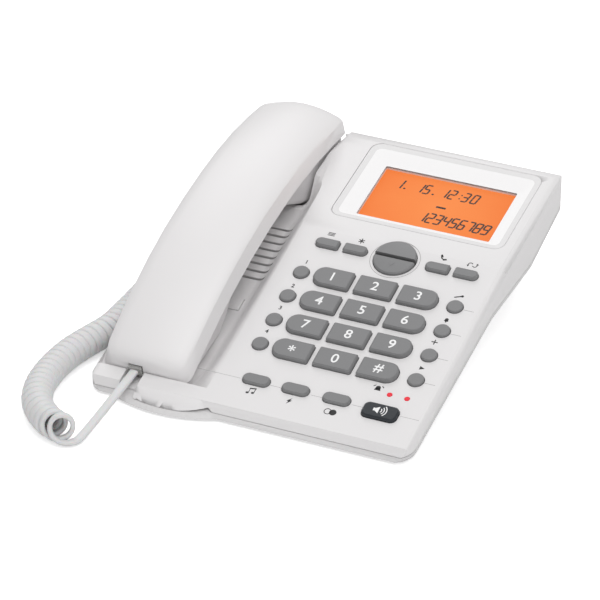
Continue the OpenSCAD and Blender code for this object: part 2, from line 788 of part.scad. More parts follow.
// A tray with bevelled lower edges, which flatten where the tray is shallow
function front_section(i, t) = let (y = front_y_list[i], z1 = parting_z(y) - front_gap
        + (t > 0 ? 2 : 0),
    z0 = min(front_bottom[i] + t, z1 - 1), a = front_hw[i] - t,
    b = min(low_hw(y, 0) - 2.4, 22.4) - t, r = 2.4,
    c1 = min(r + 0.8, 0.7 * (z1 - z0)), c2 = min(0.8, 0.2 * (z1 - z0)))
    [[-b, z1], [-a - 0.4, z0 + c1], [-a + 0.6, z0 + c2], [-a + r, z0],
     [a - r, z0], [a - 0.6, z0 + c2], [a + 0.4, z0 + c1], [b, z1]];
module handset_front_solid(t) {
    m = len(front_y_list) - 1;
    loft([for (i = [0:m])
        let (y = station(front_y_list[i], front_y_list[0], front_y_list[m], t))
            [for (p = front_section(i, t)) [p[0], y, p[1]]]]);
}
// Height of the inner shell's outside at a distance y from the handset's front
function grip_z(y) = lookup(y, [for (i = [0:len(front_bottom) - 1])
    [front_y_list[i], front_bottom[i]]]) + 0.2;
ear_y = place(178);
mouth_y = 30;
module sound_holes(y, z, r, n) {
    for (k = [0:n - 1], q = [0:max(0, k * 6 - 1)])
        translate([k * r * cos(60 * q / max(1, k)), y + k * r * sin(60 * q / max(1, k)), z])
            cylinder(h = 8, d = 1.8);
}
module handset_front() {
    color("whitesmoke") on_handset() difference() {
        union() {
            difference() {
                handset_front_solid(0);
                handset_front_solid(handset_wall);
            }
            intersection() {
                for (y = handset_screw_y) translate([0, y, -30])
                    cylinder(h = 30 + parting_z(y) - 2.6, d = 8);
                handset_front_solid(handset_wall / 2);
            }
        }
        for (y = handset_screw_y) translate([0, y, -30]) {
            cylinder(h = 60, d = 3);
            cylinder(h = 30 + grip_z(y) + 2.5, d = 5.6);
        }
        sound_holes(ear_y, ear_floor - 2, 4, 3);
        sound_holes(mouth_y, -17, 4, 2);
    }
}
module earpiece_capsule() {
    color("dimgray") on_handset() translate([0, ear_y, ear_floor + handset_wall + 0.5])
        cylinder(h = 8, d = earpiece_d);
}
module handset_microphone() {
    color("dimgray") on_handset() translate([0, mouth_y, -11.4]) cylinder(h = 5, d = 9.6);
}
module handset_weight() {
    color("silver") on_handset() translate([-12, half - 12.5, 2]) cube([24, 26, 5]);
}
module handset_jack() {
    color("black") on_handset() translate([jack_x, 3.2, plug_z]) difference() {
        translate([-plug_w / 2 - 1.4, 0, -plug_h / 2 - 1]) cube([plug_w + 2.8, 12, plug_h + 2]);
        translate([-plug_w / 2 - 0.2, -1, -plug_h / 2 - 0.2])
            cube([plug_w + 0.4, 10, plug_h + 0.4]);
    }
}
module handset_screws() {
    color("silver") on_handset() for (y = handset_screw_y)
        translate([0, y, grip_z(y) + 0.9]) {
            cylinder(h = 1.6, d = 5);
            cylinder(h = parting_z(y) + 4 - grip_z(y), d = 2.36);
        }
}

// ---- handset cord ----------------------------------------------------------
coil_route = [[-74, -153, 8.5], [-86, -148, 8.2], [-98, -137, 8.2], [-105, -122, 8.2],
    [-107.5, -104, 8.2], [-106.5, -86, 8.2], [-103, -71, 8.2], [-99, -56, 8.2],
    [-98, -38, 8.2], [-98, -18, 8.2], [-98, 2, 8.2], [-99, 22, 8.2]];
tail_route = [[-66, -93.6, 11], [-66, -99, 9.3], [-65.8, -106, 7.3], [-65.4, -114, 5.3],
    [-65, -124, 3.4], [-64.8, -134, 2], [-64.6, -143, 1.5], [-65, -149, 1.5],
    [-66.6, -154, 1.6], [-70.2, -156.4, 2.2], [-74.4, -155, 2.8]];
base_route = [[-99.05, 22.3, 8.2], [-100, 30, 8.4], [-102, 40, 9.4], [-104.5, 50, 10.8],
    [-105.4, 56, 11.6], [-103, 61.2, 12], [-96.4, 62, 12]];
function tangent(p, i) = let (a = p[max(0, i - 1)], b = p[min(len(p) - 1, i + 1)]) unit(b - a);
module tube(p, ra, rb, n) {
    loft([for (i = [0:len(p) - 1]) let (t = tangent(p, i),
        h = unit(cross([0, 0, 1], t)), v = cross(t, h))
        [for (k = [0:n - 1]) let (a = -360 * k / n) p[i] + ra * cos(a) * h + rb * sin(a) * v]]);
}
module cord_coil() {
    color("lightgray") tube(coil_route, coil_d / 2, coil_d / 2, 12);
}
module cord_tail() {
    color("lightgray") tube(tail_route, cord_w / 2, cord_t / 2, 8);
}
module cord_base_tail() {
    color("lightgray") tube(base_route, cord_w / 2, cord_t / 2, 8);
}
module handset_plug() {
    color("white") on_handset() translate([jack_x - plug_w / 2, -2, plug_z - plug_h / 2])
        cube([plug_w, 13.2, plug_h]);
}
module base_plug() {
    color("white") translate([tub_x[0] - 7.65, jack_cord_y - 3.8, jack_cord_z - 3])
        cube([14, 7.6, 6]);
}

upper_housing();
lower_housing();
display_lens();
display_glass();
display_backlight();
main_board();
keypad_mat();
loudspeaker();
handsfree_microphone();
status_leds();
hook_tab();
hook_switch_board();
hook_plunger();
handset_cord_jack();
line_jack();
battery_door();
rubber_feet();
housing_screws();
handset_back();
handset_front();
earpiece_capsule();
handset_microphone();
handset_weight();
handset_jack();
handset_screws();
handset_plug();
cord_tail();
cord_coil();
cord_base_tail();
base_plug();
for (i = [0:11]) number_key(i);
for (i = [0:3]) round_key(memory_x, i);
for (i = [0:3]) round_key(side_x, i);
bar_key(0);  // menu_key
bar_key(1);  // select_key
nav_key(1);  // nav_up_key
nav_key(-1);  // nav_down_key
bar_key(2);  // redial_key
bar_key(3);  // call_back_key
function_key(0);  // melody_key
function_key(1);  // flash_key
function_key(2);  // mute_key
speaker_key();
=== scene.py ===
"""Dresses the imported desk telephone: smooth housings, keys with figures, a lit
display, sockets with contacts and the curly handset cord. Every piece rides on
its body of the frame, in metres, in the frame's own axes."""

import json
import logging
import math
from dataclasses import dataclass, field
from enum import Enum

import bmesh
import bpy
from mathutils import Matrix, Vector

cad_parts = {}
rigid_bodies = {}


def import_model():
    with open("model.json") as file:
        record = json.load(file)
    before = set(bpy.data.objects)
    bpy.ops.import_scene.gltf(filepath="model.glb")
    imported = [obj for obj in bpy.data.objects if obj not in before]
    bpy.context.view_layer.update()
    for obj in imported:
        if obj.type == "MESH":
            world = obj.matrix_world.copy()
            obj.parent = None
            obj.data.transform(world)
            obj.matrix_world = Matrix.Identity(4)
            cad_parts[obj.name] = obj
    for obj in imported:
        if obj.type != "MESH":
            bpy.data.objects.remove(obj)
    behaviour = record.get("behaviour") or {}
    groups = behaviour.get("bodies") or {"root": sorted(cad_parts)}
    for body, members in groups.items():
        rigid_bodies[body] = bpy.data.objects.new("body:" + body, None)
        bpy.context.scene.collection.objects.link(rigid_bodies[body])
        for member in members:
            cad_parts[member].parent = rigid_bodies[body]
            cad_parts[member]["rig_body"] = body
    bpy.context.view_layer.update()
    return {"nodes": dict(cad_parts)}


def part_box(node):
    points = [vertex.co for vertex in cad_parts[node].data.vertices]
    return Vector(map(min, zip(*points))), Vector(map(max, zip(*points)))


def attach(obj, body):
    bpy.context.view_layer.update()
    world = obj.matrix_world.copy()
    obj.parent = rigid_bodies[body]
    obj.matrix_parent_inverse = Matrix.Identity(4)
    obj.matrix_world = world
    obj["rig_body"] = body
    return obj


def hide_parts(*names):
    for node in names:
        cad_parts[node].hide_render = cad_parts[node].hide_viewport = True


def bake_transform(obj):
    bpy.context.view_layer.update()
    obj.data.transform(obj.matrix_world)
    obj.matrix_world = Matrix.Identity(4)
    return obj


LOG = logging.getLogger("desk_telephone")
MM = 0.001
Point2 = tuple[float, float]
Point3 = tuple[float, float, float]


# ---- frames ------------------------------------------------------------------
@dataclass(frozen=True)
class Slope:
    """A sloping plane: x stays, s runs up the slope, f stands out of it, in mm."""

    y: float
    z: float
    tilt: float

    def point(self, x: float, s: float, f: float) -> Vector:
        """Gives the place of a point on the slope.

        Args:
            x: distance to the right, in mm.
            s: distance up the slope, in mm.
            f: height above the slope, in mm.

        Returns:
            The point in the frame, in metres.
        """
        c, n = math.cos(math.radians(self.tilt)), math.sin(math.radians(self.tilt))
        return Vector((x, self.y + s * c - f * n, self.z + s * n + f * c)) * MM

    def matrix(self, x: float, s: float, f: float) -> Matrix:
        """Gives the matrix that lays a drawing in mm on the slope.

        Args:
            x: place of the drawing's middle to the right, in mm.
            s: place of the drawing's middle up the slope, in mm.
            f: height above the slope, in mm.

        Returns:
            A matrix from drawing millimetres to the frame's metres.
        """
        turn = Matrix.Rotation(math.radians(self.tilt), 4, "X")
        return Matrix.Translation(self.point(x, s, f)) @ turn @ Matrix.Scale(MM, 4)


FACE = Slope(-99.8445, 8.5, 16.7)
DISPLAY = Slope(23.9058, 45.6268, 11.7)
KEYPAD_X = 29.4
KEY_ROW_S = 79.2
PRINT_RISE = 0.02


# ---- finishes ------------------------------------------------------------------
def bare_material(name: str) -> tuple[bpy.types.Material, bpy.types.NodeTree, bpy.types.Node]:
    """Makes a material with its nodes at their defaults.

    Args:
        name: name of the material.

    Returns:
        The material, its node tree and its main shader.
    """
    made = bpy.data.materials.new(name)
    made.use_nodes = True
    return made, made.node_tree, made.node_tree.nodes["Principled BSDF"]


class Grain(Enum):
    """How a moulded surface was textured in its tool."""

    SATIN = 0.10
    SPARK = 0.22
    POLISHED = 0.02


@dataclass(frozen=True)
class Plastic:
    """A moulded plastic with a fine tool grain and faint flow marks."""

    name: str
    colour: Point3
    roughness: float = 0.45
    grain: Grain = Grain.SATIN
    mottle: float = 0.02
    coat: float = 0.0
    glow: float = 0.0
    soft: float = 0.0

    def material(self) -> bpy.types.Material:
        """Builds the node material, once for each name.

        Returns:
            The material.
        """
        made = bpy.data.materials.get(self.name)
        if made:
            return made
        made, tree, shader = bare_material(self.name)
        made.diffuse_color = (*self.colour, 1)
        place = tree.nodes.new("ShaderNodeTexCoord")
        flow = tree.nodes.new("ShaderNodeTexNoise")
        flow.inputs["Scale"].default_value = 28.0
        flow.inputs["Detail"].default_value = 3.0
        tint = tree.nodes.new("ShaderNodeMix")
        tint.data_type = "RGBA"
        low = tuple(max(0.0, c * (1 - self.mottle)) for c in self.colour)
        high = tuple(min(1.0, c * (1 + self.mottle)) for c in self.colour)
        tint.inputs["A"].default_value = (*low, 1)
        tint.inputs["B"].default_value = (*high, 1)
        rough = tree.nodes.new("ShaderNodeMapRange")
        rough.inputs["To Min"].default_value = self.roughness - 0.05
        rough.inputs["To Max"].default_value = self.roughness + 0.05
        spark = tree.nodes.new("ShaderNodeTexNoise")
        spark.inputs["Scale"].default_value = 2600.0
        spark.inputs["Detail"].default_value = 2.0
        bump = tree.nodes.new("ShaderNodeBump")
        bump.inputs["Strength"].default_value = self.grain.value
        bump.inputs["Distance"].default_value = 0.00006
        link = tree.links.new
        link(place.outputs["Object"], flow.inputs["Vector"])
        link(place.outputs["Object"], spark.inputs["Vector"])
        link(flow.outputs["Fac"], tint.inputs["Factor"])
        link(flow.outputs["Fac"], rough.inputs["Value"])
        link(tint.outputs["Result"], shader.inputs["Base Color"])
        link(rough.outputs["Result"], shader.inputs["Roughness"])
        link(spark.outputs["Fac"], bump.inputs["Height"])
        link(bump.outputs["Normal"], shader.inputs["Normal"])
        shader.inputs["Coat Weight"].default_value = self.coat
        shader.inputs["Coat Roughness"].default_value = 0.12
        shader.inputs["Subsurface Weight"].default_value = self.soft
        shader.inputs["Subsurface Scale"].default_value = 0.002
        if self.glow:
            shader.inputs["Emission Color"].default_value = (*self.colour, 1)
            shader.inputs["Emission Strength"].default_value = self.glow
        return made


@dataclass(frozen=True)
class LitGlass:
    """The display's lit glass: an even glow that falls off towards its edges."""

    name: str
    middle: Point3
    edge: Point3
    glow: float
    centre: Point3
    reach: float

    def material(self) -> bpy.types.Material:
        """Builds the glowing material from the distance to the glass's middle.

        Returns:
            The material.
        """
        made, tree, shader = bare_material(self.name)
        place = tree.nodes.new("ShaderNodeTexCoord")
        mapping = tree.nodes.new("ShaderNodeMapping")
        mapping.vector_type = "TEXTURE"
        mapping.inputs["Location"].default_value = self.centre
        mapping.inputs["Scale"].default_value = (self.reach,) * 3
        length = tree.nodes.new("ShaderNodeVectorMath")
        length.operation = "LENGTH"
        cloud = tree.nodes.new("ShaderNodeTexNoise")
        cloud.inputs["Scale"].default_value = 45.0
        add = tree.nodes.new("ShaderNodeMath")
        add.operation = "MULTIPLY_ADD"
        add.inputs[1].default_value = 0.35
        mix = tree.nodes.new("ShaderNodeMix")
        mix.data_type = "RGBA"
        mix.inputs["A"].default_value = (*self.middle, 1)
        mix.inputs["B"].default_value = (*self.edge, 1)
        link = tree.links.new
        link(place.outputs["Object"], mapping.inputs["Vector"])
        link(place.outputs["Object"], cloud.inputs["Vector"])
        link(mapping.outputs["Vector"], length.inputs[0])
        link(cloud.outputs["Fac"], add.inputs[0])
        link(length.outputs["Value"], add.inputs[2])
        link(add.outputs["Value"], mix.inputs["Factor"])
        link(mix.outputs["Result"], shader.inputs["Emission Color"])
        shader.inputs["Base Color"].default_value = (0.16, 0.05, 0.015, 1)
        shader.inputs["Emission Strength"].default_value = self.glow
        shader.inputs["Roughness"].default_value = 0.6
        shader.inputs["Specular IOR Level"].default_value = 0.1
        return made


@dataclass(frozen=True)
class ClearPane:
    """A clear moulded wall or plug body; body is how much of it shows at all."""

    name: str
    colour: Point3
    roughness: float = 0.03
    clear: float = 1.0
    body: float = 1.0

    def material(self) -> bpy.types.Material:
        """Builds the clear material.

        Returns:
            The material.
        """
        made = bpy.data.materials.get(self.name)
        if made:
            return made
        made, tree, shader = bare_material(self.name)
        shader.inputs["Base Color"].default_value = (*self.colour, 1)
        shader.inputs["Transmission Weight"].default_value = self.clear
        shader.inputs["IOR"].default_value = 1.46
        shader.inputs["Alpha"].default_value = self.body
        place = tree.nodes.new("ShaderNodeTexCoord")
        haze = tree.nodes.new("ShaderNodeTexNoise")
        haze.inputs["Scale"].default_value = 300.0
        span = tree.nodes.new("ShaderNodeMapRange")
        span.inputs["To Min"].default_value = self.roughness
        span.inputs["To Max"].default_value = self.roughness + 0.02
        tree.links.new(place.outputs["Object"], haze.inputs["Vector"])
        tree.links.new(haze.outputs["Fac"], span.inputs["Value"])
        tree.links.new(span.outputs["Result"], shader.inputs["Roughness"])
        return made


@dataclass(frozen=True)
class BrightMetal:
    """Plated or spun metal with fine brushing."""

    name: str
    colour: Point3
    roughness: float = 0.28

    def material(self) -> bpy.types.Material:
        """Builds the metal with brushing along X.

        Returns:
            The material.
        """
        made = bpy.data.materials.get(self.name)
        if made:
            return made
        made, tree, shader = bare_material(self.name)
        shader.inputs["Metallic"].default_value = 1.0
        shader.inputs["Base Color"].default_value = (*self.colour, 1)
        place = tree.nodes.new("ShaderNodeTexCoord")
        mapping = tree.nodes.new("ShaderNodeMapping")
        mapping.inputs["Scale"].default_value = (90.0, 4000.0, 4000.0)
        brush = tree.nodes.new("ShaderNodeTexNoise")
        brush.inputs["Scale"].default_value = 1.0
        span = tree.nodes.new("ShaderNodeMapRange")
        span.inputs["To Min"].default_value = self.roughness - 0.08
        span.inputs["To Max"].default_value = self.roughness + 0.12
        tree.links.new(place.outputs["Object"], mapping.inputs["Vector"])
        tree.links.new(mapping.outputs["Vector"], brush.inputs["Vector"])
        tree.links.new(brush.outputs["Fac"], span.inputs["Value"])
        tree.links.new(span.outputs["Result"], shader.inputs["Roughness"])
        return made


HOUSING = Plastic("housing_abs", (0.775, 0.762, 0.765), 0.42, Grain.SATIN, 0.012)
LOWER = Plastic("lower_housing_abs", (0.69, 0.68, 0.682), 0.5, Grain.SPARK, 0.015)
HANDSET_ABS = Plastic("handset_abs", (0.80, 0.785, 0.788), 0.40, Grain.SATIN, 0.012)
KEY_GREY = Plastic("key_grey", (0.212, 0.212, 0.216), 0.44, Grain.SATIN, 0.02)
KEY_DARK = Plastic("key_dark", (0.018, 0.022, 0.028), 0.36, Grain.SATIN, 0.05)
KEY_PRINT = Plastic("key_print_white", (0.9, 0.9, 0.9), 0.5, Grain.POLISHED, 0.01)
PRINT_DARK = Plastic("print_black", (0.012, 0.012, 0.013), 0.5, Grain.POLISHED, 0.1)
SEGMENT = Plastic("display_segment", (0.030, 0.012, 0.006), 0.5, Grain.POLISHED, 0.1)
LENS_WHITE = Plastic("lens_border_white", (0.70, 0.69, 0.692), 0.3, Grain.POLISHED,
                     0.01, coat=0.15)
# painted highlight: the bevel round the window uses the border's white painted lighter, as if it
# caught the light
BEVEL_PAINTED_LIGHT = Plastic("lens_bevel_painted_highlight", (0.86, 0.85, 0.852), 0.3, Grain.POLISHED, 0.01)
LENS_CLEAR = ClearPane("lens_window_clear", (0.98, 0.98, 0.98), 0.02, 1.0, 0.1)
PLUG_CLEAR = ClearPane("plug_clear", (0.9, 0.9, 0.88), 0.12, 0.7)
LED_RED = Plastic("led_red", (0.56, 0.006, 0.02), 0.3, Grain.POLISHED, 0.05,
                  coat=0.5, glow=0.55)
CORD_GREY = Plastic("cord_pvc", (0.70, 0.70, 0.705), 0.5, Grain.SATIN, 0.03, soft=0.15)
RUBBER = Plastic("foot_rubber", (0.05, 0.05, 0.052), 0.8, Grain.SPARK, 0.15)
SOCKET_BLACK = Plastic("socket_black", (0.02, 0.02, 0.02), 0.5, Grain.SPARK, 0.1)
BOARD_GREEN = Plastic("board_green", (0.03, 0.16, 0.06), 0.3, Grain.SPARK, 0.2, coat=0.4)
MAT_GREY = Plastic("mat_silicone", (0.5, 0.5, 0.48), 0.6, Grain.SATIN, 0.05, soft=0.2)
GUIDE_WHITE = Plastic("light_guide", (0.86, 0.86, 0.83), 0.3, Grain.POLISHED, 0.01)
SPEAKER_DARK = Plastic("speaker_basket", (0.05, 0.05, 0.055), 0.4, Grain.SPARK, 0.2)
# painted shade: a grey that stands in for the shade inside the face's fine grooves
PAINTED_SHADE_GREY = Plastic("painted_shade_in_grooves", (0.42, 0.41, 0.41), 0.7, Grain.SATIN, 0.05)
STEEL = BrightMetal("zinc_steel", (0.62, 0.62, 0.6))
GOLD = BrightMetal("contact_gold", (0.85, 0.62, 0.27), 0.2)
Finish = Plastic | LitGlass | ClearPane | BrightMetal


# ---- mesh tools ------------------------------------------------------------------
def new_piece(name: str, mesh: bpy.types.Mesh, *finishes: Finish) -> bpy.types.Object:
    """Links a mesh as an object at the origin and gives it its finishes.

    Args:
        name: name of the piece.
        mesh: its mesh, in metres in the frame.
        finishes: its finishes, in the order of the mesh's material numbers.

    Returns:
        The object.
    """
    slots = [face.material_index for face in mesh.polygons]
    mesh.materials.clear()
    for finish in finishes:
        mesh.materials.append(finish.material())
    mesh.polygons.foreach_set("material_index", [min(i, len(finishes) - 1) for i in slots])
    made = bpy.data.objects.new(name, mesh)
    bpy.context.scene.collection.objects.link(made)
    LOG.info("%s: %d faces", name, len(mesh.polygons))
    return made


def mesh_of(bm: bmesh.types.BMesh, name: str, smooth: float = 35.0) -> bpy.types.Mesh:
    """Turns an edited mesh into a mesh that shades smoothly below an angle.

    Args:
        bm: the edited mesh, which is freed.
        name: name of the mesh.
        smooth: angle in degrees above which an edge stays sharp.

    Returns:
        The mesh.
    """
    for face in bm.faces:
        face.smooth = True
    mesh = bpy.data.meshes.new(name)
    bm.to_mesh(mesh)
    bm.free()
    mesh.set_sharp_from_angle(angle=math.radians(smooth))
    return mesh


def smooth_copy(node: str, piece: str, finish: Finish, smooth: float = 35.0,
                edge: float = 0.0) -> bpy.types.Object:
    """Builds a piece from a node's merged shape, shaded smoothly, and puts it in its place.

    Args:
        node: the node whose shape is right.
        piece: name of the new piece.
        finish: its finish.
        smooth: angle in degrees above which an edge stays sharp.
        edge: width in mm of the rounding on the sharp edges.

    Returns:
        The piece, which stands for the node and rides on its body.
    """
    source = FRAME["nodes"][node]
    bm = bmesh.new()
    bm.from_mesh(source.data)
    bmesh.ops.remove_doubles(bm, verts=bm.verts, dist=2e-6)
    bmesh.ops.dissolve_degenerate(bm, edges=bm.edges, dist=1e-6)
    bmesh.ops.dissolve_limit(bm, angle_limit=math.radians(0.6), verts=bm.verts,
                             edges=bm.edges)
    made = new_piece(piece, mesh_of(bm, piece, smooth), finish)
    if edge:
        bevel = made.modifiers.new("Soft edges", "BEVEL")
        bevel.width = edge * MM
        bevel.segments = 2
        bevel.limit_method = "ANGLE"
        bevel.angle_limit = math.radians(smooth)
        bevel.harden_normals = True
        bevel.use_clamp_overlap = True
    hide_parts(node)
    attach(made, source["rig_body"])
    return made


@dataclass
class Drawing:
    """A flat drawing in mm, made of thin raised shapes, for print and figures."""

    rise: float = 0.04
    bm: bmesh.types.BMesh = field(default_factory=bmesh.new)

    def _cap(self, ring: list[Point2]) -> None:
        """Adds a filled outline with a thin side, given counter-clockwise."""
        low = [self.bm.verts.new((x, y, -self.rise)) for x, y in ring]
        high = [self.bm.verts.new((x, y, self.rise)) for x, y in ring]
        self.bm.faces.new(high)
        self.bm.faces.new(list(reversed(low)))
        for i in range(len(ring)):
            j = (i + 1) % len(ring)
            self.bm.faces.new((low[i], low[j], high[j], high[i]))

    def polygon(self, ring: list[Point2], at: Point2 = (0, 0)) -> "Drawing":
        """Adds a filled polygon, counter-clockwise, moved to a place."""
        self._cap([(x + at[0], y + at[1]) for x, y in ring])
        return self

    def disc(self, at: Point2, r: float, ratio: float = 1.0) -> "Drawing":
        """Adds a filled disc or ellipse."""
        turn = [2 * math.pi * i / 24 for i in range(24)]
        self._cap([(at[0] + r * math.cos(a), at[1] + r * ratio * math.sin(a))
                   for a in turn])
        return self

    def stroke(self, points: list[Point2], width: float) -> "Drawing":
        """Adds a line of even width through points.

        Args:
            points: the points, in mm.
            width: the line's width, in mm.

        Returns:
            The drawing itself.
        """
        for (x0, y0), (x1, y1) in zip(points, points[1:], strict=False):
            d = Vector((x1 - x0, y1 - y0))
            if d.length < 1e-6:
                continue
            d.normalize()
            n = Vector((-d.y, d.x)) * width / 2
            e = d * width / 2
            self._cap([(x0 - e.x - n.x, y0 - e.y - n.y), (x1 + e.x - n.x, y1 + e.y - n.y),
                       (x1 + e.x + n.x, y1 + e.y + n.y), (x0 - e.x + n.x, y0 - e.y + n.y)])
        return self

    def arc(self, at: Point2, r: float, start: float, end: float,
            width: float) -> "Drawing":
        """Adds a circular arc of even width, from start to end in degrees."""
        steps = max(4, int(abs(end - start) / 12))
        angles = [math.radians(start + (end - start) * i / steps) for i in range(steps + 1)]
        ring = [(at[0] + (r - width / 2) * math.cos(a), at[1] + (r - width / 2) * math.sin(a))
                for a in reversed(angles)]
        ring += [(at[0] + (r + width / 2) * math.cos(a), at[1] + (r + width / 2) * math.sin(a))
                 for a in angles]
        if end < start:
            ring.reverse()
        for i in range(steps):
            a, b = steps - i, steps - i - 1
            quad = [ring[b], ring[a], ring[2 * steps + 1 - a], ring[2 * steps + 1 - b]]
            self._cap(quad)
        return self

    def lay(self, where: Matrix) -> None:
        """Moves everything drawn so far to its place in the frame."""
        bmesh.ops.transform(self.bm, matrix=where, verts=self.bm.verts)

    def mesh(self, name: str) -> bpy.types.Mesh:
        """Gives the drawing as a mesh."""
        bmesh.ops.recalc_face_normals(self.bm, faces=self.bm.faces)
        return mesh_of(self.bm, name)


def lettering(sign: str, height: float, weight: float, where: Matrix,
              name: str) -> bpy.types.Mesh:
    """Draws a figure as a thin solid, centred on its place.

    Args:
        sign: the figure.
        height: its height, in mm.
        weight: how much its strokes are thickened, as a share of the size.
        where: matrix from drawing millimetres to the frame.
        name: name of the mesh.

    Returns:
        The mesh, in the frame.
    """
    curve = bpy.data.curves.new(name + "_curve", "FONT")
    curve.body = sign
    curve.size = height * 1.37
    curve.offset = weight * height
    curve.extrude = 0.04
    curve.align_x = "CENTER"
    curve.resolution_u = 6
    holder = bpy.data.objects.new(name + "_holder", curve)
    bpy.context.scene.collection.objects.link(holder)
    bpy.context.view_layer.update()
    mesh = bpy.data.meshes.new_from_object(
        holder.evaluated_get(bpy.context.evaluated_depsgraph_get()))
    bpy.data.objects.remove(holder)
    bpy.data.curves.remove(curve)
    ys = [v.co.y for v in mesh.vertices]
    xs = [v.co.x for v in mesh.vertices]
    middle = Vector(((min(xs) + max(xs)) / 2, (min(ys) + max(ys)) / 2, 0))
    mesh.transform(where @ Matrix.Translation(-middle))
    mesh.name = name
    return mesh


def join_meshes(name: str, meshes: list[bpy.types.Mesh]) -> bpy.types.Mesh:
    """Joins meshes in the frame into one.

    Args:
        name: name of the joined mesh.
        meshes: the meshes, which are removed.

    Returns:
        The joined mesh.
    """
    bm = bmesh.new()
    for mesh in meshes:
        bm.from_mesh(mesh)
        bpy.data.meshes.remove(mesh)
    return mesh_of(bm, name)


# ---- repeated pieces, by geometry nodes ----------------------------------------
def node_group(name: str, sockets: dict[str, str]) -> bpy.types.NodeTree:
    """Makes an empty geometry tree with named inputs.

    Args:
        name: name of the tree.
        sockets: socket type of each named input.

    Returns:
        The tree, with its input and output nodes.
    """
    tree = bpy.data.node_groups.new(name, "GeometryNodeTree")
    tree.interface.new_socket("Geometry", in_out="INPUT", socket_type="NodeSocketGeometry")
    for label, kind in sockets.items():
        tree.interface.new_socket(label, in_out="INPUT", socket_type=kind)
    tree.interface.new_socket("Geometry", in_out="OUTPUT", socket_type="NodeSocketGeometry")
    tree.nodes.new("NodeGroupInput")
    tree.nodes.new("NodeGroupOutput")
    return tree


def repeated(name: str, places: list[Matrix], shape: bpy.types.Mesh,
             finish: Finish) -> bpy.types.Object:
    """Repeats a small shape at places with a geometry tree, made real as one mesh.

    Args:
        name: name of the piece.
        places: where each copy goes, unscaled, in metres.
        shape: the shape that is repeated, in metres.
        finish: its finish.

    Returns:
        The piece.
    """
    points = bpy.data.meshes.new(name)
    points.from_pydata([m.translation for m in places], [], [])
    turn = points.attributes.new("turn", "QUATERNION", "POINT")
    for i, m in enumerate(places):
        turn.data[i].value = m.to_quaternion()
    stamp = bpy.data.objects.new(name + "_shape", shape)
    bpy.context.scene.collection.objects.link(stamp)
    tree = node_group(name + "_tree", {"Shape": "NodeSocketObject", "Scale": "NodeSocketFloat",
                                       "Finish": "NodeSocketMaterial"})
    given, out = tree.nodes["Group Input"], tree.nodes["Group Output"]
    info = tree.nodes.new("GeometryNodeObjectInfo")
    read = tree.nodes.new("GeometryNodeInputNamedAttribute")
    read.data_type = "QUATERNION"
    read.inputs["Name"].default_value = "turn"
    spread = tree.nodes.new("GeometryNodeInstanceOnPoints")
    real = tree.nodes.new("GeometryNodeRealizeInstances")
    paint = tree.nodes.new("GeometryNodeSetMaterial")
    link = tree.links.new
    link(given.outputs["Shape"], info.inputs["Object"])
    link(given.outputs["Geometry"], spread.inputs["Points"])
    link(info.outputs["Geometry"], spread.inputs["Instance"])
    link(read.outputs["Attribute"], spread.inputs["Rotation"])
    link(given.outputs["Scale"], spread.inputs["Scale"])
    link(spread.outputs["Instances"], real.inputs["Geometry"])
    link(real.outputs["Geometry"], paint.inputs["Geometry"])
    link(given.outputs["Finish"], paint.inputs["Material"])
    link(paint.outputs["Geometry"], out.inputs["Geometry"])
    holder = bpy.data.objects.new(name + "_holder", points)
    bpy.context.scene.collection.objects.link(holder)
    modifier = holder.modifiers.new("Repeat", "NODES")
    modifier.node_group = tree
    values = {"Shape": stamp, "Scale": 1.0, "Finish": finish.material()}
    for item in tree.interface.items_tree:
        if item.in_out == "INPUT" and item.name in values:
            modifier[item.identifier] = values[item.name]
    bpy.context.view_layer.update()
    mesh = bpy.data.meshes.new_from_object(
        holder.evaluated_get(bpy.context.evaluated_depsgraph_get()))
    bpy.data.objects.remove(holder)
    bpy.data.objects.remove(stamp)
    mesh.name = name
    return new_piece(name, mesh, finish)


def rounded_box(size: Point3, edge: float, name: str) -> bpy.types.Mesh:
    """Builds a block with rounded edges round the origin.

    Args:
        size: its three sides, in mm.
        edge: radius of its edges, in mm.
        name: name of the mesh.

    Returns:
        The mesh, in metres.
    """
    bm = bmesh.new()
    bmesh.ops.create_cube(bm, size=1.0)
    bmesh.ops.scale(bm, vec=Vector(size) * MM, verts=bm.verts)
    bmesh.ops.bevel(bm, geom=bm.edges[:], offset=edge * MM, segments=2, profile=0.5,
                    affect="EDGES")
    return mesh_of(bm, name)


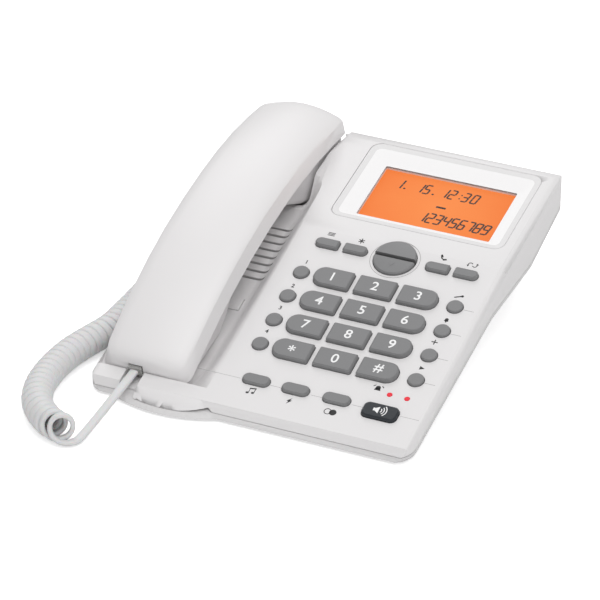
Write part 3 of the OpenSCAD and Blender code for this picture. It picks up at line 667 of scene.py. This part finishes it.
# ---- handset cord ----------------------------------------------------------------
@dataclass
class HandsetCord:
    """One flat cord: a straight tail, a long coil and a short tail to its socket."""

    width: float = 4.6
    thickness: float = 2.6
    coil_r: float = 6.7
    pitch: float = 4.6
    per_turn: int = 28
    first_angle: float = -75.0
    first_side: Point3 = (0.911, 0.412, 0)
    end_axis: Point3 = (0.40, -0.87, 0.28)
    turned_over: float = 20.0
    least_lean: float = 0.8
    route_step: float = 0.5
    tail_step: float = 1.6
    sides: int = 12
    squareness: float = 0.62
    tail: tuple[Point3, ...] = (
        (-66, -93.4, 11.2), (-66.1, -100, 10.3), (-66.4, -108, 9.1), (-66.9, -118, 7.4),
        (-67.4, -128, 5.7), (-68, -138, 4.0), (-68.5, -145, 2.9), (-69.2, -150.5, 2.3))
    coil: tuple[Point3, ...] = (
        (-74, -153, 8.5), (-86, -148, 8.2), (-98, -137, 8.2), (-105, -122, 8.2),
        (-107.5, -104, 8.2), (-106.5, -86, 8.2), (-103, -71, 8.2), (-99, -56, 8.2),
        (-98, -38, 8.2), (-98, -18, 8.2), (-98, 2, 8.2), (-99, 22, 8.2))
    base_tail: tuple[Point3, ...] = (
        (-100, 30, 8.4), (-102, 40, 9.4), (-104.5, 50, 10.8), (-105.4, 56, 11.6),
        (-103, 61.2, 12), (-96.4, 62, 12))

    def smooth_line(self, points: list[Vector], step: float) -> list[Vector]:
        """Runs a smooth curve through points and spaces it evenly.

        Args:
            points: the points it passes.
            step: distance between the new points.

        Returns:
            The new points.
        """
        ends = [2 * points[0] - points[1], *points, 2 * points[-1] - points[-2]]
        fine = []
        for a, b, c, d in zip(ends, ends[1:], ends[2:], ends[3:], strict=False):
            for i in range(16):
                t = i / 16
                fine.append(0.5 * (2 * b + (c - a) * t + (2 * a - 5 * b + 4 * c - d) * t * t
                                   + (3 * b - a - 3 * c + d) * t ** 3))
        fine.append(points[-1].copy())
        kept, left = [fine[0]], 0.0
        for a, b in zip(fine, fine[1:], strict=False):
            left += (b - a).length
            if left >= step:
                kept.append(b)
                left = 0.0
        if (kept[-1] - fine[-1]).length > step / 3:
            kept.append(fine[-1])
        return kept

    def winding(self) -> list[tuple[Vector, Vector]]:
        """Winds the coil round its route.

        Returns:
            Each point of the cord's middle with the direction of its width.
        """
        route = self.smooth_line([Vector(p) for p in self.coil], self.route_step)
        end_axis = Vector(self.end_axis).normalized()
        made, travelled, parts = [], 0.0, 8
        angle, side = math.radians(self.first_angle), Vector(self.first_side)
        for i in range(len(route) - 1):
            step = (route[i + 1] - route[i]).length
            outward = (route[max(0, i - 1)] - route[i + 1]).normalized()
            k = min(1.0, travelled / self.turned_over)
            k = k * k * (3 - 2 * k)
            axis = (end_axis * (1 - k) + outward * k).normalized()
            side = (side - axis * side.dot(axis)).normalized()
            up = axis.cross(side)
            lean = max(self.least_lean, axis.dot(outward))
            for j in range(parts):
                centre = route[i].lerp(route[i + 1], j / parts)
                spoke = math.cos(angle) * side + math.sin(angle) * up
                made.append((centre + self.coil_r * spoke, axis.copy()))
                angle -= 2 * math.pi * step / parts * lean / self.pitch
            travelled += step
        return made

    def thin(self, line: list[tuple[Vector, Vector]],
             step: float) -> list[tuple[Vector, Vector]]:
        """Keeps points of a line about step apart."""
        kept, left = [line[0]], 0.0
        for a, b in zip(line, line[1:], strict=False):
            left += (b[0] - a[0]).length
            if left >= step:
                kept.append(b)
                left = 0.0
        kept.append(line[-1])
        return kept

    def line(self) -> list[tuple[Vector, Vector]]:
        """Lays the whole cord from the handset's plug to the base's plug.

        Returns:
            Each point of the cord's middle with the direction of its width, in mm.
        """
        up = Vector((0, 0, 1))
        coil = self.winding()
        entry = self.smooth_line([*map(Vector, self.tail), coil[0][0]], self.tail_step)
        leave = self.smooth_line([coil[-1][0], *map(Vector, self.base_tail)], self.tail_step)
        tail = []
        for i, p in enumerate(entry[:-1]):
            ahead = (entry[i + 1] - p).normalized()
            tail.append((p, up.cross(ahead).normalized()))
        if tail[-1][1].dot(coil[0][1]) < 0:
            tail = [(p, -w) for p, w in tail]
        last = []
        for i, p in enumerate(leave[1:], start=1):
            ahead = (p - leave[i - 1]).normalized()
            last.append((p, up.cross(ahead).normalized()))
        if last[0][1].dot(coil[-1][1]) < 0:
            last = [(p, -w) for p, w in last]
        whole = tail + self.thin(coil, 2 * math.pi * self.coil_r / self.per_turn) + last
        widths = [w for _, w in whole]
        for _ in range(2):
            widths = [(widths[max(0, i - 1)] + widths[i] * 2
                       + widths[min(len(widths) - 1, i + 1)]).normalized()
                      for i in range(len(widths))]
        return [(p, w) for (p, _), w in zip(whole, widths, strict=True)]

    def section(self) -> list[Point2]:
        """Gives the cord's section: flat, with round sides."""
        def eased(value: float) -> float:
            """Draws a sine or cosine out towards the section's corners."""
            return math.copysign(abs(value) ** self.squareness, value)

        turn = [2 * math.pi * (i + 0.5) / self.sides for i in range(self.sides)]
        return [(self.width / 2 * eased(math.cos(t)), self.thickness / 2 * eased(math.sin(t)))
                for t in turn]

    def build(self) -> bpy.types.Object:
        """Returns:
            The cord.
        """
        line = self.line()
        bm = bmesh.new()
        rings = []
        for i, (p, w) in enumerate(line):
            ahead = (line[min(len(line) - 1, i + 1)][0] - line[max(0, i - 1)][0]).normalized()
            wide = (w - ahead * w.dot(ahead)).normalized()
            thick = ahead.cross(wide)
            rings.append([bm.verts.new((p + wide * x + thick * y) * MM)
                          for x, y in self.section()])
        for a, b in zip(rings, rings[1:], strict=False):
            for i in range(len(a)):
                j = (i + 1) % len(a)
                bm.faces.new((a[i], a[j], b[j], b[i]))
        bm.faces.new(list(reversed(rings[0])))
        bm.faces.new(rings[-1])
        bmesh.ops.recalc_face_normals(bm, faces=bm.faces)
        cord = new_piece("handset_cord", mesh_of(bm, "handset_cord", 60), CORD_GREY)
        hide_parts("cord_tail", "cord_coil", "cord_base_tail")
        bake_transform(cord)
        self.plug("handset_plug")
        self.plug("base_plug")
        return cord

    def plug(self, node: str) -> bpy.types.Object:
        """Dresses a modular plug in its clear finish."""
        return smooth_copy(node, node + "_body", PLUG_CLEAR, 35, 0.25)


# ---- base --------------------------------------------------------------------------
@dataclass
class Base:
    """The housings with their print, feet, screws and what shows inside."""

    ring_r: float = 13.2
    memory_x: float = -12.7
    memory_s: tuple[float, ...] = (104.9, 87.0, 70.6, 53.4)
    front_line: tuple[Point2, ...] = (
        (-36.0, -12.4), (-3.2, 9.8), (26.6, 32.4), (49.0, 54.6), (74.4, 84.6))
    mark: float = 5.5
    row_pitch: float = 17.6
    contacts: int = 6
    contact_pitch: float = 1.02
    contact_size: Point3 = (0.45, 6.5, 0.3)
    contact_tilt: float = -18.0

    def build(self) -> None:
        """Builds and dresses everything that is fixed to the base."""
        for node, piece, finish, smooth, edge in (
                ("upper_housing", "upper_shell", HOUSING, 32, 0),
                ("lower_housing", "lower_shell", LOWER, 32, 0),
                ("battery_door", "battery_lid", LOWER, 32, 0.4),
                ("hook_tab", "hook_tab_tongue", HOUSING, 32, 0.4),
                ("rubber_feet", "feet", RUBBER, 40, 0.5),
                ("main_board", "circuit_board", BOARD_GREEN, 35, 0),
                ("hook_switch_board", "switch_board", BOARD_GREEN, 35, 0),
                ("keypad_mat", "key_mat", MAT_GREY, 35, 0),
                ("loudspeaker", "loudspeaker_basket", SPEAKER_DARK, 35, 0.4),
                ("handsfree_microphone", "microphone_boot", SOCKET_BLACK, 35, 0.3),
                ("status_leds", "led_lenses", LED_RED, 35, 0.35),
                ("hook_plunger", "plunger_pin", HOUSING, 35, 0.4)):
            smooth_copy(node, piece, finish, smooth, edge)
        self.symbols()
        self.shade_lines()
        self.sockets()
        self.screws()

    def symbols(self) -> None:
        """Prints plain figures and signs beside the keys."""
        sheet: list[bpy.types.Mesh] = []

        def sign(x: float, s: float, drawing: Drawing) -> None:
            """Lays a sign at its place on the face."""
            drawing.lay(FACE.matrix(x, s, PRINT_RISE))
            sheet.append(drawing.mesh("sign"))

        for i, s in enumerate(self.memory_s):
            where = FACE.matrix(self.memory_x, s, PRINT_RISE)
            sheet.append(lettering(str(i + 1), 2.5, 0.03, where, "memory_figure"))
        bars = Drawing()
        for y in (-0.9, 0.0, 0.9):
            bars.stroke([(-1.7, y), (1.7, y)], 0.42)
        sign(-8.2, 127.4, bars)
        star = Drawing()
        for a in (90, 210, 330):
            c, n = math.cos(math.radians(a)) * 1.5, math.sin(math.radians(a)) * 1.5
            star.stroke([(-c, -n), (c, n)], 0.5)
        sign(8.9, 127.2, star)
        sign(54.1, 127.8, self.receiver())
        swap = Drawing().arc((-1.2, 0), 1.2, 30, 210, 0.45).arc((1.2, 0), 1.2, -150, 30, 0.45)
        swap.polygon([(-3.1, -0.5), (-1.7, -0.5), (-2.4, -1.6)])
        swap.polygon([(1.7, 0.5), (3.1, 0.5), (2.4, 1.6)])
        sign(70.8, 127.5, swap)
        pen = Drawing().stroke([(-1.8, -0.8), (1.4, 0.7)], 0.7)
        pen.disc((1.7, 0.8), 0.75)
        sign(72.3, 104.3, pen)
        bell = Drawing().disc((0, 0.4), 0.95).polygon(
            [(-1.2, -0.9), (1.2, -0.9), (0.75, 0.4), (-0.75, 0.4)]).disc((0, -1.25), 0.4)
        sign(72.4, 87.2, bell)
        sign(72.3, 71.2, Drawing().stroke([(-1.4, 0), (1.4, 0)], 0.55)
             .stroke([(0, -1.4), (0, 1.4)], 0.55))
        sign(73.0, 52.6, Drawing().polygon([(-1.3, -1.2), (1.3, 0), (-1.3, 1.2)]))
        chime = Drawing().disc((0, 0.5), 1.3).polygon(
            [(-1.7, -1.3), (1.7, -1.3), (1.2, 0.4), (-1.2, 0.4)])
        chime.stroke([(-2.6, 1.2), (-1.8, 1.9)], 0.45).stroke([(2.6, 1.2), (1.8, 1.9)], 0.45)
        sign(57.0, 33.4, chime)
        note = Drawing().disc((-1.4, -1.5), 0.8, 0.8).disc((1.4, -1.1), 0.8, 0.8)
        note.stroke([(-0.75, -1.4), (-0.75, 1.5)], 0.35).stroke([(2.05, -1.0), (2.05, 1.9)], 0.35)
        note.stroke([(-0.75, 1.5), (2.05, 1.9)], 0.7)
        sign(-3.8, 13.0, note)
        flash = Drawing().polygon([(-0.2, 0.2), (-0.9, -2.0), (1.4, 0.5), (0.3, 0.5)])
        flash.polygon([(0.3, 0.0), (0.9, 2.1), (-1.3, -0.2), (-0.3, -0.2)])
        sign(17.5, 12.4, flash)
        mute = Drawing().arc((-1.4, 0), 1.75, 0, 360, 0.4).disc((1.4, 0), 1.9)
        sign(40.2, 11.7, mute)
        print_piece = new_piece("housing_print", join_meshes("housing_print", sheet),
                                PRINT_DARK)
        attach(print_piece, "base")

    def receiver(self) -> Drawing:
        """Draws a handset sign."""
        return (Drawing().arc((1.1, 1.3), 2.1, 160, 290, 0.6)
                .stroke([(-1.0, 1.7), (-0.5, 0.9)], 1.0).stroke([(1.0, -1.0), (1.9, -0.7)], 1.0))

    def shade_lines(self) -> None:
        """Lays the fine grooves of the face as thin grey lines of painted shade: the ring and the
        long line.
        """
        lines: list[bpy.types.Mesh] = []
        ring = Drawing().arc((0, 0), self.ring_r, 0, 360, 0.3)
        ring.lay(FACE.matrix(KEYPAD_X + 1.4, KEY_ROW_S + 40.5, 0.0))
        lines.append(ring.mesh("ring"))
        for x0, x1 in self.front_line:
            line = Drawing(0.03).stroke([(x0, 0), (x1, 0)], 0.22)
            line.lay(FACE.matrix(0, KEY_ROW_S - 59.8, 0.0))
            lines.append(line.mesh("line"))
        for i in range(4):
            line = Drawing(0.03).stroke([(0, 0), (self.mark, 0)], 0.25)
            row = KEY_ROW_S + (1 - i) * self.row_pitch
            line.lay(FACE.matrix(KEYPAD_X + 48.6, row - 0.4, 0.0))
            lines.append(line.mesh("mark"))
        # the grooves' shade is painted on as grey lines
        made = new_piece("face_grooves", join_meshes("face_grooves", lines), PAINTED_SHADE_GREY)
        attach(made, "base")

    def sockets(self) -> None:
        """Dresses the two sockets and sets the line socket's contacts in a row."""
        for node in ("handset_cord_jack", "line_jack"):
            smooth_copy(node, node + "_shell", SOCKET_BLACK, 35, 0.25)
        low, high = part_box("line_jack")
        middle = (low + high) / 2
        pin = rounded_box(self.contact_size, 0.1, "pin")
        tilt = Matrix.Rotation(math.radians(self.contact_tilt), 4, "X")
        across = [(i - (self.contacts - 1) / 2) * self.contact_pitch
                  for i in range(self.contacts)]
        places = [Matrix.Translation(middle + Vector((x, 0.5, 2.6)) * MM) @ tilt
                  for x in across]
        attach(repeated("line_contacts", places, pin, GOLD), "base")

    def screws(self) -> None:
        """Dresses the screws that hold the two housings together."""
        smooth_copy("housing_screws", "housing_screw_set", STEEL, 35, 0.2)


# ---- keys --------------------------------------------------------------------------
class Cap(Enum):
    """What is printed on a key."""

    FIGURE = 1
    SPEAKER = 2
    BARE = 3


@dataclass
class Key:
    """One key: its cap and its print, on a body of its own."""

    node: str
    x: float = 0.0
    s: float = 0.0
    rise: float = 0.0
    finish: Finish = KEY_GREY
    cap: Cap = Cap.BARE
    sign: str = ""
    figure_tall: float = 6.0
    star_tall: float = 6.6
    print_rise: float = 0.015

    def build(self) -> None:
        """Builds the cap with rounded edges and prints its sign."""
        smooth_copy(self.node, self.node + "_cap", self.finish, 30, 0.3)
        where = FACE.matrix(self.x, self.s, self.rise + self.print_rise)
        if self.cap is Cap.FIGURE:
            tall = self.star_tall if self.sign == "*" else self.figure_tall
            mesh = lettering(self.sign, tall, 0.016, where, self.node + "_figure")
            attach(new_piece(self.node + "_figure", mesh, KEY_PRINT), self.node)
        if self.cap is Cap.SPEAKER:
            drawing = Drawing().polygon([(-3.6, -0.9), (-2.4, -0.9), (-2.4, 0.9), (-3.6, 0.9)])
            drawing.polygon([(-2.5, -0.9), (-0.6, -2.2), (-0.6, 2.2), (-2.5, 0.9)])
            for r in (1.5, 2.8, 4.1):
                drawing.arc((-0.6, 0), r, -48, 48, 0.5)
            drawing.lay(where)
            mesh = drawing.mesh(self.node + "_print")
            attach(new_piece(self.node + "_print", mesh, KEY_PRINT), self.node)


@dataclass
class Keyboard:
    """All the keys of the face."""

    pitch_x: float = 23.8
    pitch_y: float = 17.6
    figure_rise: float = 2.5
    bare: tuple[str, ...] = ("menu_key", "select_key", "redial_key", "call_back_key",
                             "nav_up_key", "nav_down_key", "melody_key", "flash_key",
                             "mute_key")
    names: tuple[str, ...] = ("1", "2", "3", "4", "5", "6", "7", "8", "9", "star", "0", "hash")
    signs: str = "123456789*0#"

    def build(self) -> None:
        """Builds every key in its place."""
        for i, name in enumerate(self.names):
            Key("key_" + name, KEYPAD_X + (i % 3 - 1) * self.pitch_x,
                KEY_ROW_S + (1 - i // 3) * self.pitch_y, self.figure_rise,
                cap=Cap.FIGURE, sign=self.signs[i]).build()
        for i in range(4):
            Key(f"memory_key_{i + 1}").build()
            Key(f"side_key_{i + 1}").build()
        for name in self.bare:
            Key(name).build()
        Key("speaker_key", KEYPAD_X + 35.1, KEY_ROW_S - 60.8, 2.0, KEY_DARK,
            Cap.SPEAKER).build()
        arrow = Drawing(0.12).polygon([(-1.5, 1.2), (0, -1.3), (1.5, 1.2), (0, 0.5)])
        arrow.lay(FACE.matrix(KEYPAD_X + 1.4, KEY_ROW_S + 35.2, 1.82))
        made = new_piece("nav_arrow", arrow.mesh("nav_arrow"), KEY_GREY)
        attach(made, "nav_down_key")


# ---- display -----------------------------------------------------------------------
@dataclass
class Display:
    """The lens with its white border, the lit glass and its figures."""

    x: float = KEYPAD_X + 2.55
    s: float = 44.7
    w: float = 97.5
    h: float = 63.0
    window_x: float = KEYPAD_X + 4.9
    window_s: float = 39.05
    window_w: float = 74.6
    window_h: float = 41.3
    thick: float = 1.6
    glass_f: float = -2.8
    segments: dict[str, str] = field(default_factory=lambda: {
        "0": "abcdef", "1": "bc", "2": "abged", "3": "abgcd", "4": "fgbc", "5": "afgcd",
        "6": "afgcde", "7": "abc", "8": "abcdefg", "9": "abcdfg"})

    def build(self) -> None:
        """Builds the lens, the glass and what the glass shows."""
        self.lens()
        middle = DISPLAY.point(self.window_x, self.window_s, self.glass_f)
        lit = LitGlass("display_lit_orange", (0.96, 0.30, 0.085), (0.88, 0.19, 0.04), 0.86,
                       tuple(middle), 0.062)
        smooth_copy("display_glass", "lit_glass", lit, 35)
        smooth_copy("display_backlight", "light_guide_plate", GUIDE_WHITE, 35)
        self.figures()

    def lens(self) -> None:
        """Builds the lens: a rounded white border with clear walls round its window, its bevel
        painted lighter as a painted highlight.
        """
        bm = bmesh.new()

        def ring(w: float, h: float, r: float, f: float, dx: float, ds: float,
                 corner: int = 7) -> list[bmesh.types.BMVert]:
            """Adds a rounded rectangle of points, moved by dx and ds, at a height."""
            points = []
            for cx, cy, start in ((1, 1, 0), (-1, 1, 90), (-1, -1, 180), (1, -1, 270)):
                for i in range(corner):
                    a = math.radians(start + 90 * i / (corner - 1))
                    points.append(bm.verts.new(DISPLAY.point(
                        self.x + dx + cx * (w / 2 - r) + r * math.cos(a),
                        self.s + ds + cy * (h / 2 - r) + r * math.sin(a), f)))
            return points

        dx, ds = self.window_x - self.x, self.window_s - self.s
        rings = [ring(self.w, self.h, 6, -self.thick, 0, 0),
                 ring(self.w, self.h, 6, -0.3, 0, 0),
                 ring(self.w - 0.6, self.h - 0.6, 5.7, 0.0, 0, 0),
                 ring(self.w - 7.0, self.h - 7.0, 3.4, 0.0, dx * 0.12, ds * 0.12),
                 ring(self.window_w + 6.4, self.window_h + 6.4, 2.4, -0.55, dx, ds),
                 ring(self.window_w, self.window_h, 0.8, -0.6, dx, ds)]
        count = len(rings[0])
        for k, (a, b) in enumerate(zip(rings, rings[1:], strict=False)):
            for i in range(count):
                j = (i + 1) % count
                side = bm.faces.new((a[i], a[j], b[j], b[i]))
                # the bevel faces get the lighter white, a painted highlight
                side.material_index = 2 if k > 2 else 0
        under = ring(self.window_w, self.window_h, 0.8, -self.thick, dx, ds)
        for i in range(count):
            j = (i + 1) % count
            bm.faces.new((rings[0][j], rings[0][i], under[i], under[j]))
            wall = bm.faces.new((rings[-1][i], rings[-1][j], under[j], under[i]))
            wall.material_index = 1
        bmesh.ops.recalc_face_normals(bm, faces=bm.faces)
        made = new_piece("display_lens_plate", mesh_of(bm, "display_lens_plate", 25),
                         LENS_WHITE, LENS_CLEAR, BEVEL_PAINTED_LIGHT)
        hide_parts("display_lens")
        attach(made, "base")

    def digit(self, sign: str, x: float, y: float, tall: float, sheet: Drawing) -> None:
        """Draws one seven-segment figure that leans to the right.

        Args:
            sign: the figure.
            x: its left edge, in mm from the window's middle.
            y: its lower edge, in mm from the window's middle.
            tall: its height, in mm.
            sheet: the drawing it goes on.
        """
        wide, lean, thick, gap = tall * 0.42, 0.16, tall * 0.13, tall * 0.02
        half = tall / 2
        ends = {"a": ((0, 2), (1, 2)), "b": ((1, 2), (1, 1)), "c": ((1, 1), (1, 0)),
                "d": ((0, 0), (1, 0)), "e": ((0, 1), (0, 0)), "f": ((0, 2), (0, 1)),
                "g": ((0, 1), (1, 1))}
        for name in self.segments[sign]:
            (ax, ay), (bx, by) = ends[name]
            a = Vector((ax * wide, ay * half))
            b = Vector((bx * wide, by * half))
            d = (b - a).normalized()
            a, b = a + d * (gap + thick / 2), b - d * (gap + thick / 2)
            place = [(x + p.x + lean * p.y, y + p.y) for p in (a, b)]
            sheet.stroke(place, thick)

    def figures(self) -> None:
        """Draws a plain time, date and number on the glass."""
        sheet = Drawing(0.03)
        wx = -self.window_w / 2
        rows = (("1", 9.6, 7.0), ("1", 21.0, 7.0), ("5", 25.2, 7.0), ("1", 35.0, 7.0),
                ("2", 39.4, 7.0), ("3", 47.0, 7.0), ("0", 52.2, 7.0))
        for sign, x, tall in rows:
            self.digit(sign, wx + x, 8.0, tall, sheet)
        for y in (9.6, 12.6):
            sheet.disc((wx + 45.6 + 0.16 * (y - 8), y), 0.45)
        for x in (15.0, 31.2):
            sheet.disc((wx + x, 8.6), 0.7, 0.8)
        for i, sign in enumerate("123456789"):
            self.digit(sign, wx + 31.0 + 4.45 * i, -13.6, 7.4, sheet)
        for i in range(3):
            sheet.stroke([(wx + 37.5 + 1.6 * i, -0.3), (wx + 38.4 + 1.6 * i, -0.3)], 1.3)
        sheet.lay(DISPLAY.matrix(self.window_x, self.window_s, self.glass_f + 0.04))
        made = new_piece("display_figures", sheet.mesh("display_figures"), SEGMENT)
        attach(made, "base")


# ---- handset -----------------------------------------------------------------------
@dataclass
class Handset:
    """The handset's two shells and what they hold."""

    def build(self) -> None:
        """Builds and dresses the handset."""
        smooth_copy("handset_back", "handset_outer_shell", HANDSET_ABS, 38)
        smooth_copy("handset_front", "handset_inner_shell", HANDSET_ABS, 38)
        smooth_copy("earpiece_capsule", "earpiece", SPEAKER_DARK, 35, 0.4)
        smooth_copy("handset_microphone", "mouth_microphone", SPEAKER_DARK, 35, 0.3)
        smooth_copy("handset_weight", "balance_weight", STEEL, 35, 0.4)
        smooth_copy("handset_jack", "handset_socket", SOCKET_BLACK, 35, 0.2)
        smooth_copy("handset_screws", "handset_screw_pair", STEEL, 35, 0.2)


# ---- stage -------------------------------------------------------------------------
@dataclass
class Studio:
    """The floor, the lamps and the camera."""

    place: Point3 = (0.6323, -1.4338, 0.9349)
    turn: Point3 = (59.70, 0.0, 24.34)
    lens: float = 210.0
    room_light: float = 0.5
    lamps: tuple[tuple[str, Point3, float, float], ...] = (
        ("key_lamp", (0.5, -0.4, 2.2), 1.8, 24),
        ("front_lamp", (1.2, -1.9, 0.9), 1.6, 4.5),
        ("back_lamp", (-0.9, 1.4, 1.5), 1.2, 9))

    def camera(self) -> None:
        """Sets up the camera."""
        data = bpy.data.cameras.new("view")
        data.lens = self.lens
        data.sensor_width = 36.0
        data.clip_end = 20.0
        made = bpy.data.objects.new("view", data)
        made.location = self.place
        made.rotation_euler = tuple(math.radians(a) for a in self.turn)
        bpy.context.scene.collection.objects.link(made)
        bpy.context.scene.camera = made

    def lamp(self, name: str, place: Point3, size: float, power: float) -> None:
        """Hangs a square lamp that points at the telephone.

        Args:
            name: its name.
            place: where it hangs, in metres.
            size: its side, in metres.
            power: its power, in watts.
        """
        data = bpy.data.lights.new(name, "AREA")
        data.size = size
        data.energy = power
        made = bpy.data.objects.new(name, data)
        made.location = place
        made.rotation_euler = (Vector((0, 0, 0.03)) - Vector(place)).to_track_quat(
            "-Z", "Y").to_euler()
        bpy.context.scene.collection.objects.link(made)

    def floor(self) -> None:
        """Lays the pale floor."""
        bm = bmesh.new()
        bmesh.ops.create_grid(bm, x_segments=1, y_segments=1, size=6.0)
        mesh = mesh_of(bm, "floor")
        made = bpy.data.objects.new("floor", mesh)
        paint, tree, shader = bare_material("floor_white")
        shader.inputs["Base Color"].default_value = (0.9, 0.9, 0.9, 1)
        shader.inputs["Roughness"].default_value = 0.9
        shader.inputs["Specular IOR Level"].default_value = 0.1
        path = tree.nodes.new("ShaderNodeLightPath")
        seen = tree.nodes.new("ShaderNodeMath")
        seen.operation = "MULTIPLY"
        seen.inputs[1].default_value = 0.5
        shader.inputs["Emission Color"].default_value = (1, 1, 1, 1)
        tree.links.new(path.outputs["Is Camera Ray"], seen.inputs[0])
        tree.links.new(seen.outputs["Value"], shader.inputs["Emission Strength"])
        mesh.materials.append(paint)
        bpy.context.scene.collection.objects.link(made)

    def world(self) -> None:
        """Fills the room with even light."""
        made = bpy.data.worlds.new("room")
        bpy.context.scene.world = made
        made.use_nodes = True
        tree = made.node_tree
        back = tree.nodes["Background"]
        path = tree.nodes.new("ShaderNodeLightPath")
        both = tree.nodes.new("ShaderNodeMath")
        both.operation = "MAXIMUM"
        span = tree.nodes.new("ShaderNodeMapRange")
        span.inputs["To Min"].default_value = self.room_light
        span.inputs["To Max"].default_value = 1.0
        tree.links.new(path.outputs["Is Camera Ray"], both.inputs[0])
        tree.links.new(path.outputs["Is Transmission Ray"], both.inputs[1])
        tree.links.new(both.outputs["Value"], span.inputs["Value"])
        tree.links.new(span.outputs["Result"], back.inputs["Strength"])
        back.inputs["Color"].default_value = (1, 1, 1, 1)

    def build(self) -> None:
        """Sets up the light, the floor and the colour handling."""
        self.world()
        self.floor()
        for name, place, size, power in self.lamps:
            self.lamp(name, place, size, power)
        bpy.context.scene.view_settings.view_transform = "Standard"


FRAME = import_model()


def main() -> None:
    """Builds the telephone piece by piece."""
    logging.basicConfig(level=logging.INFO, format="%(message)s")
    studio = Studio()
    studio.camera()
    HandsetCord().build()
    Base().build()
    Keyboard().build()
    Display().build()
    Handset().build()
    studio.build()


if __name__ == "__main__":
    main()
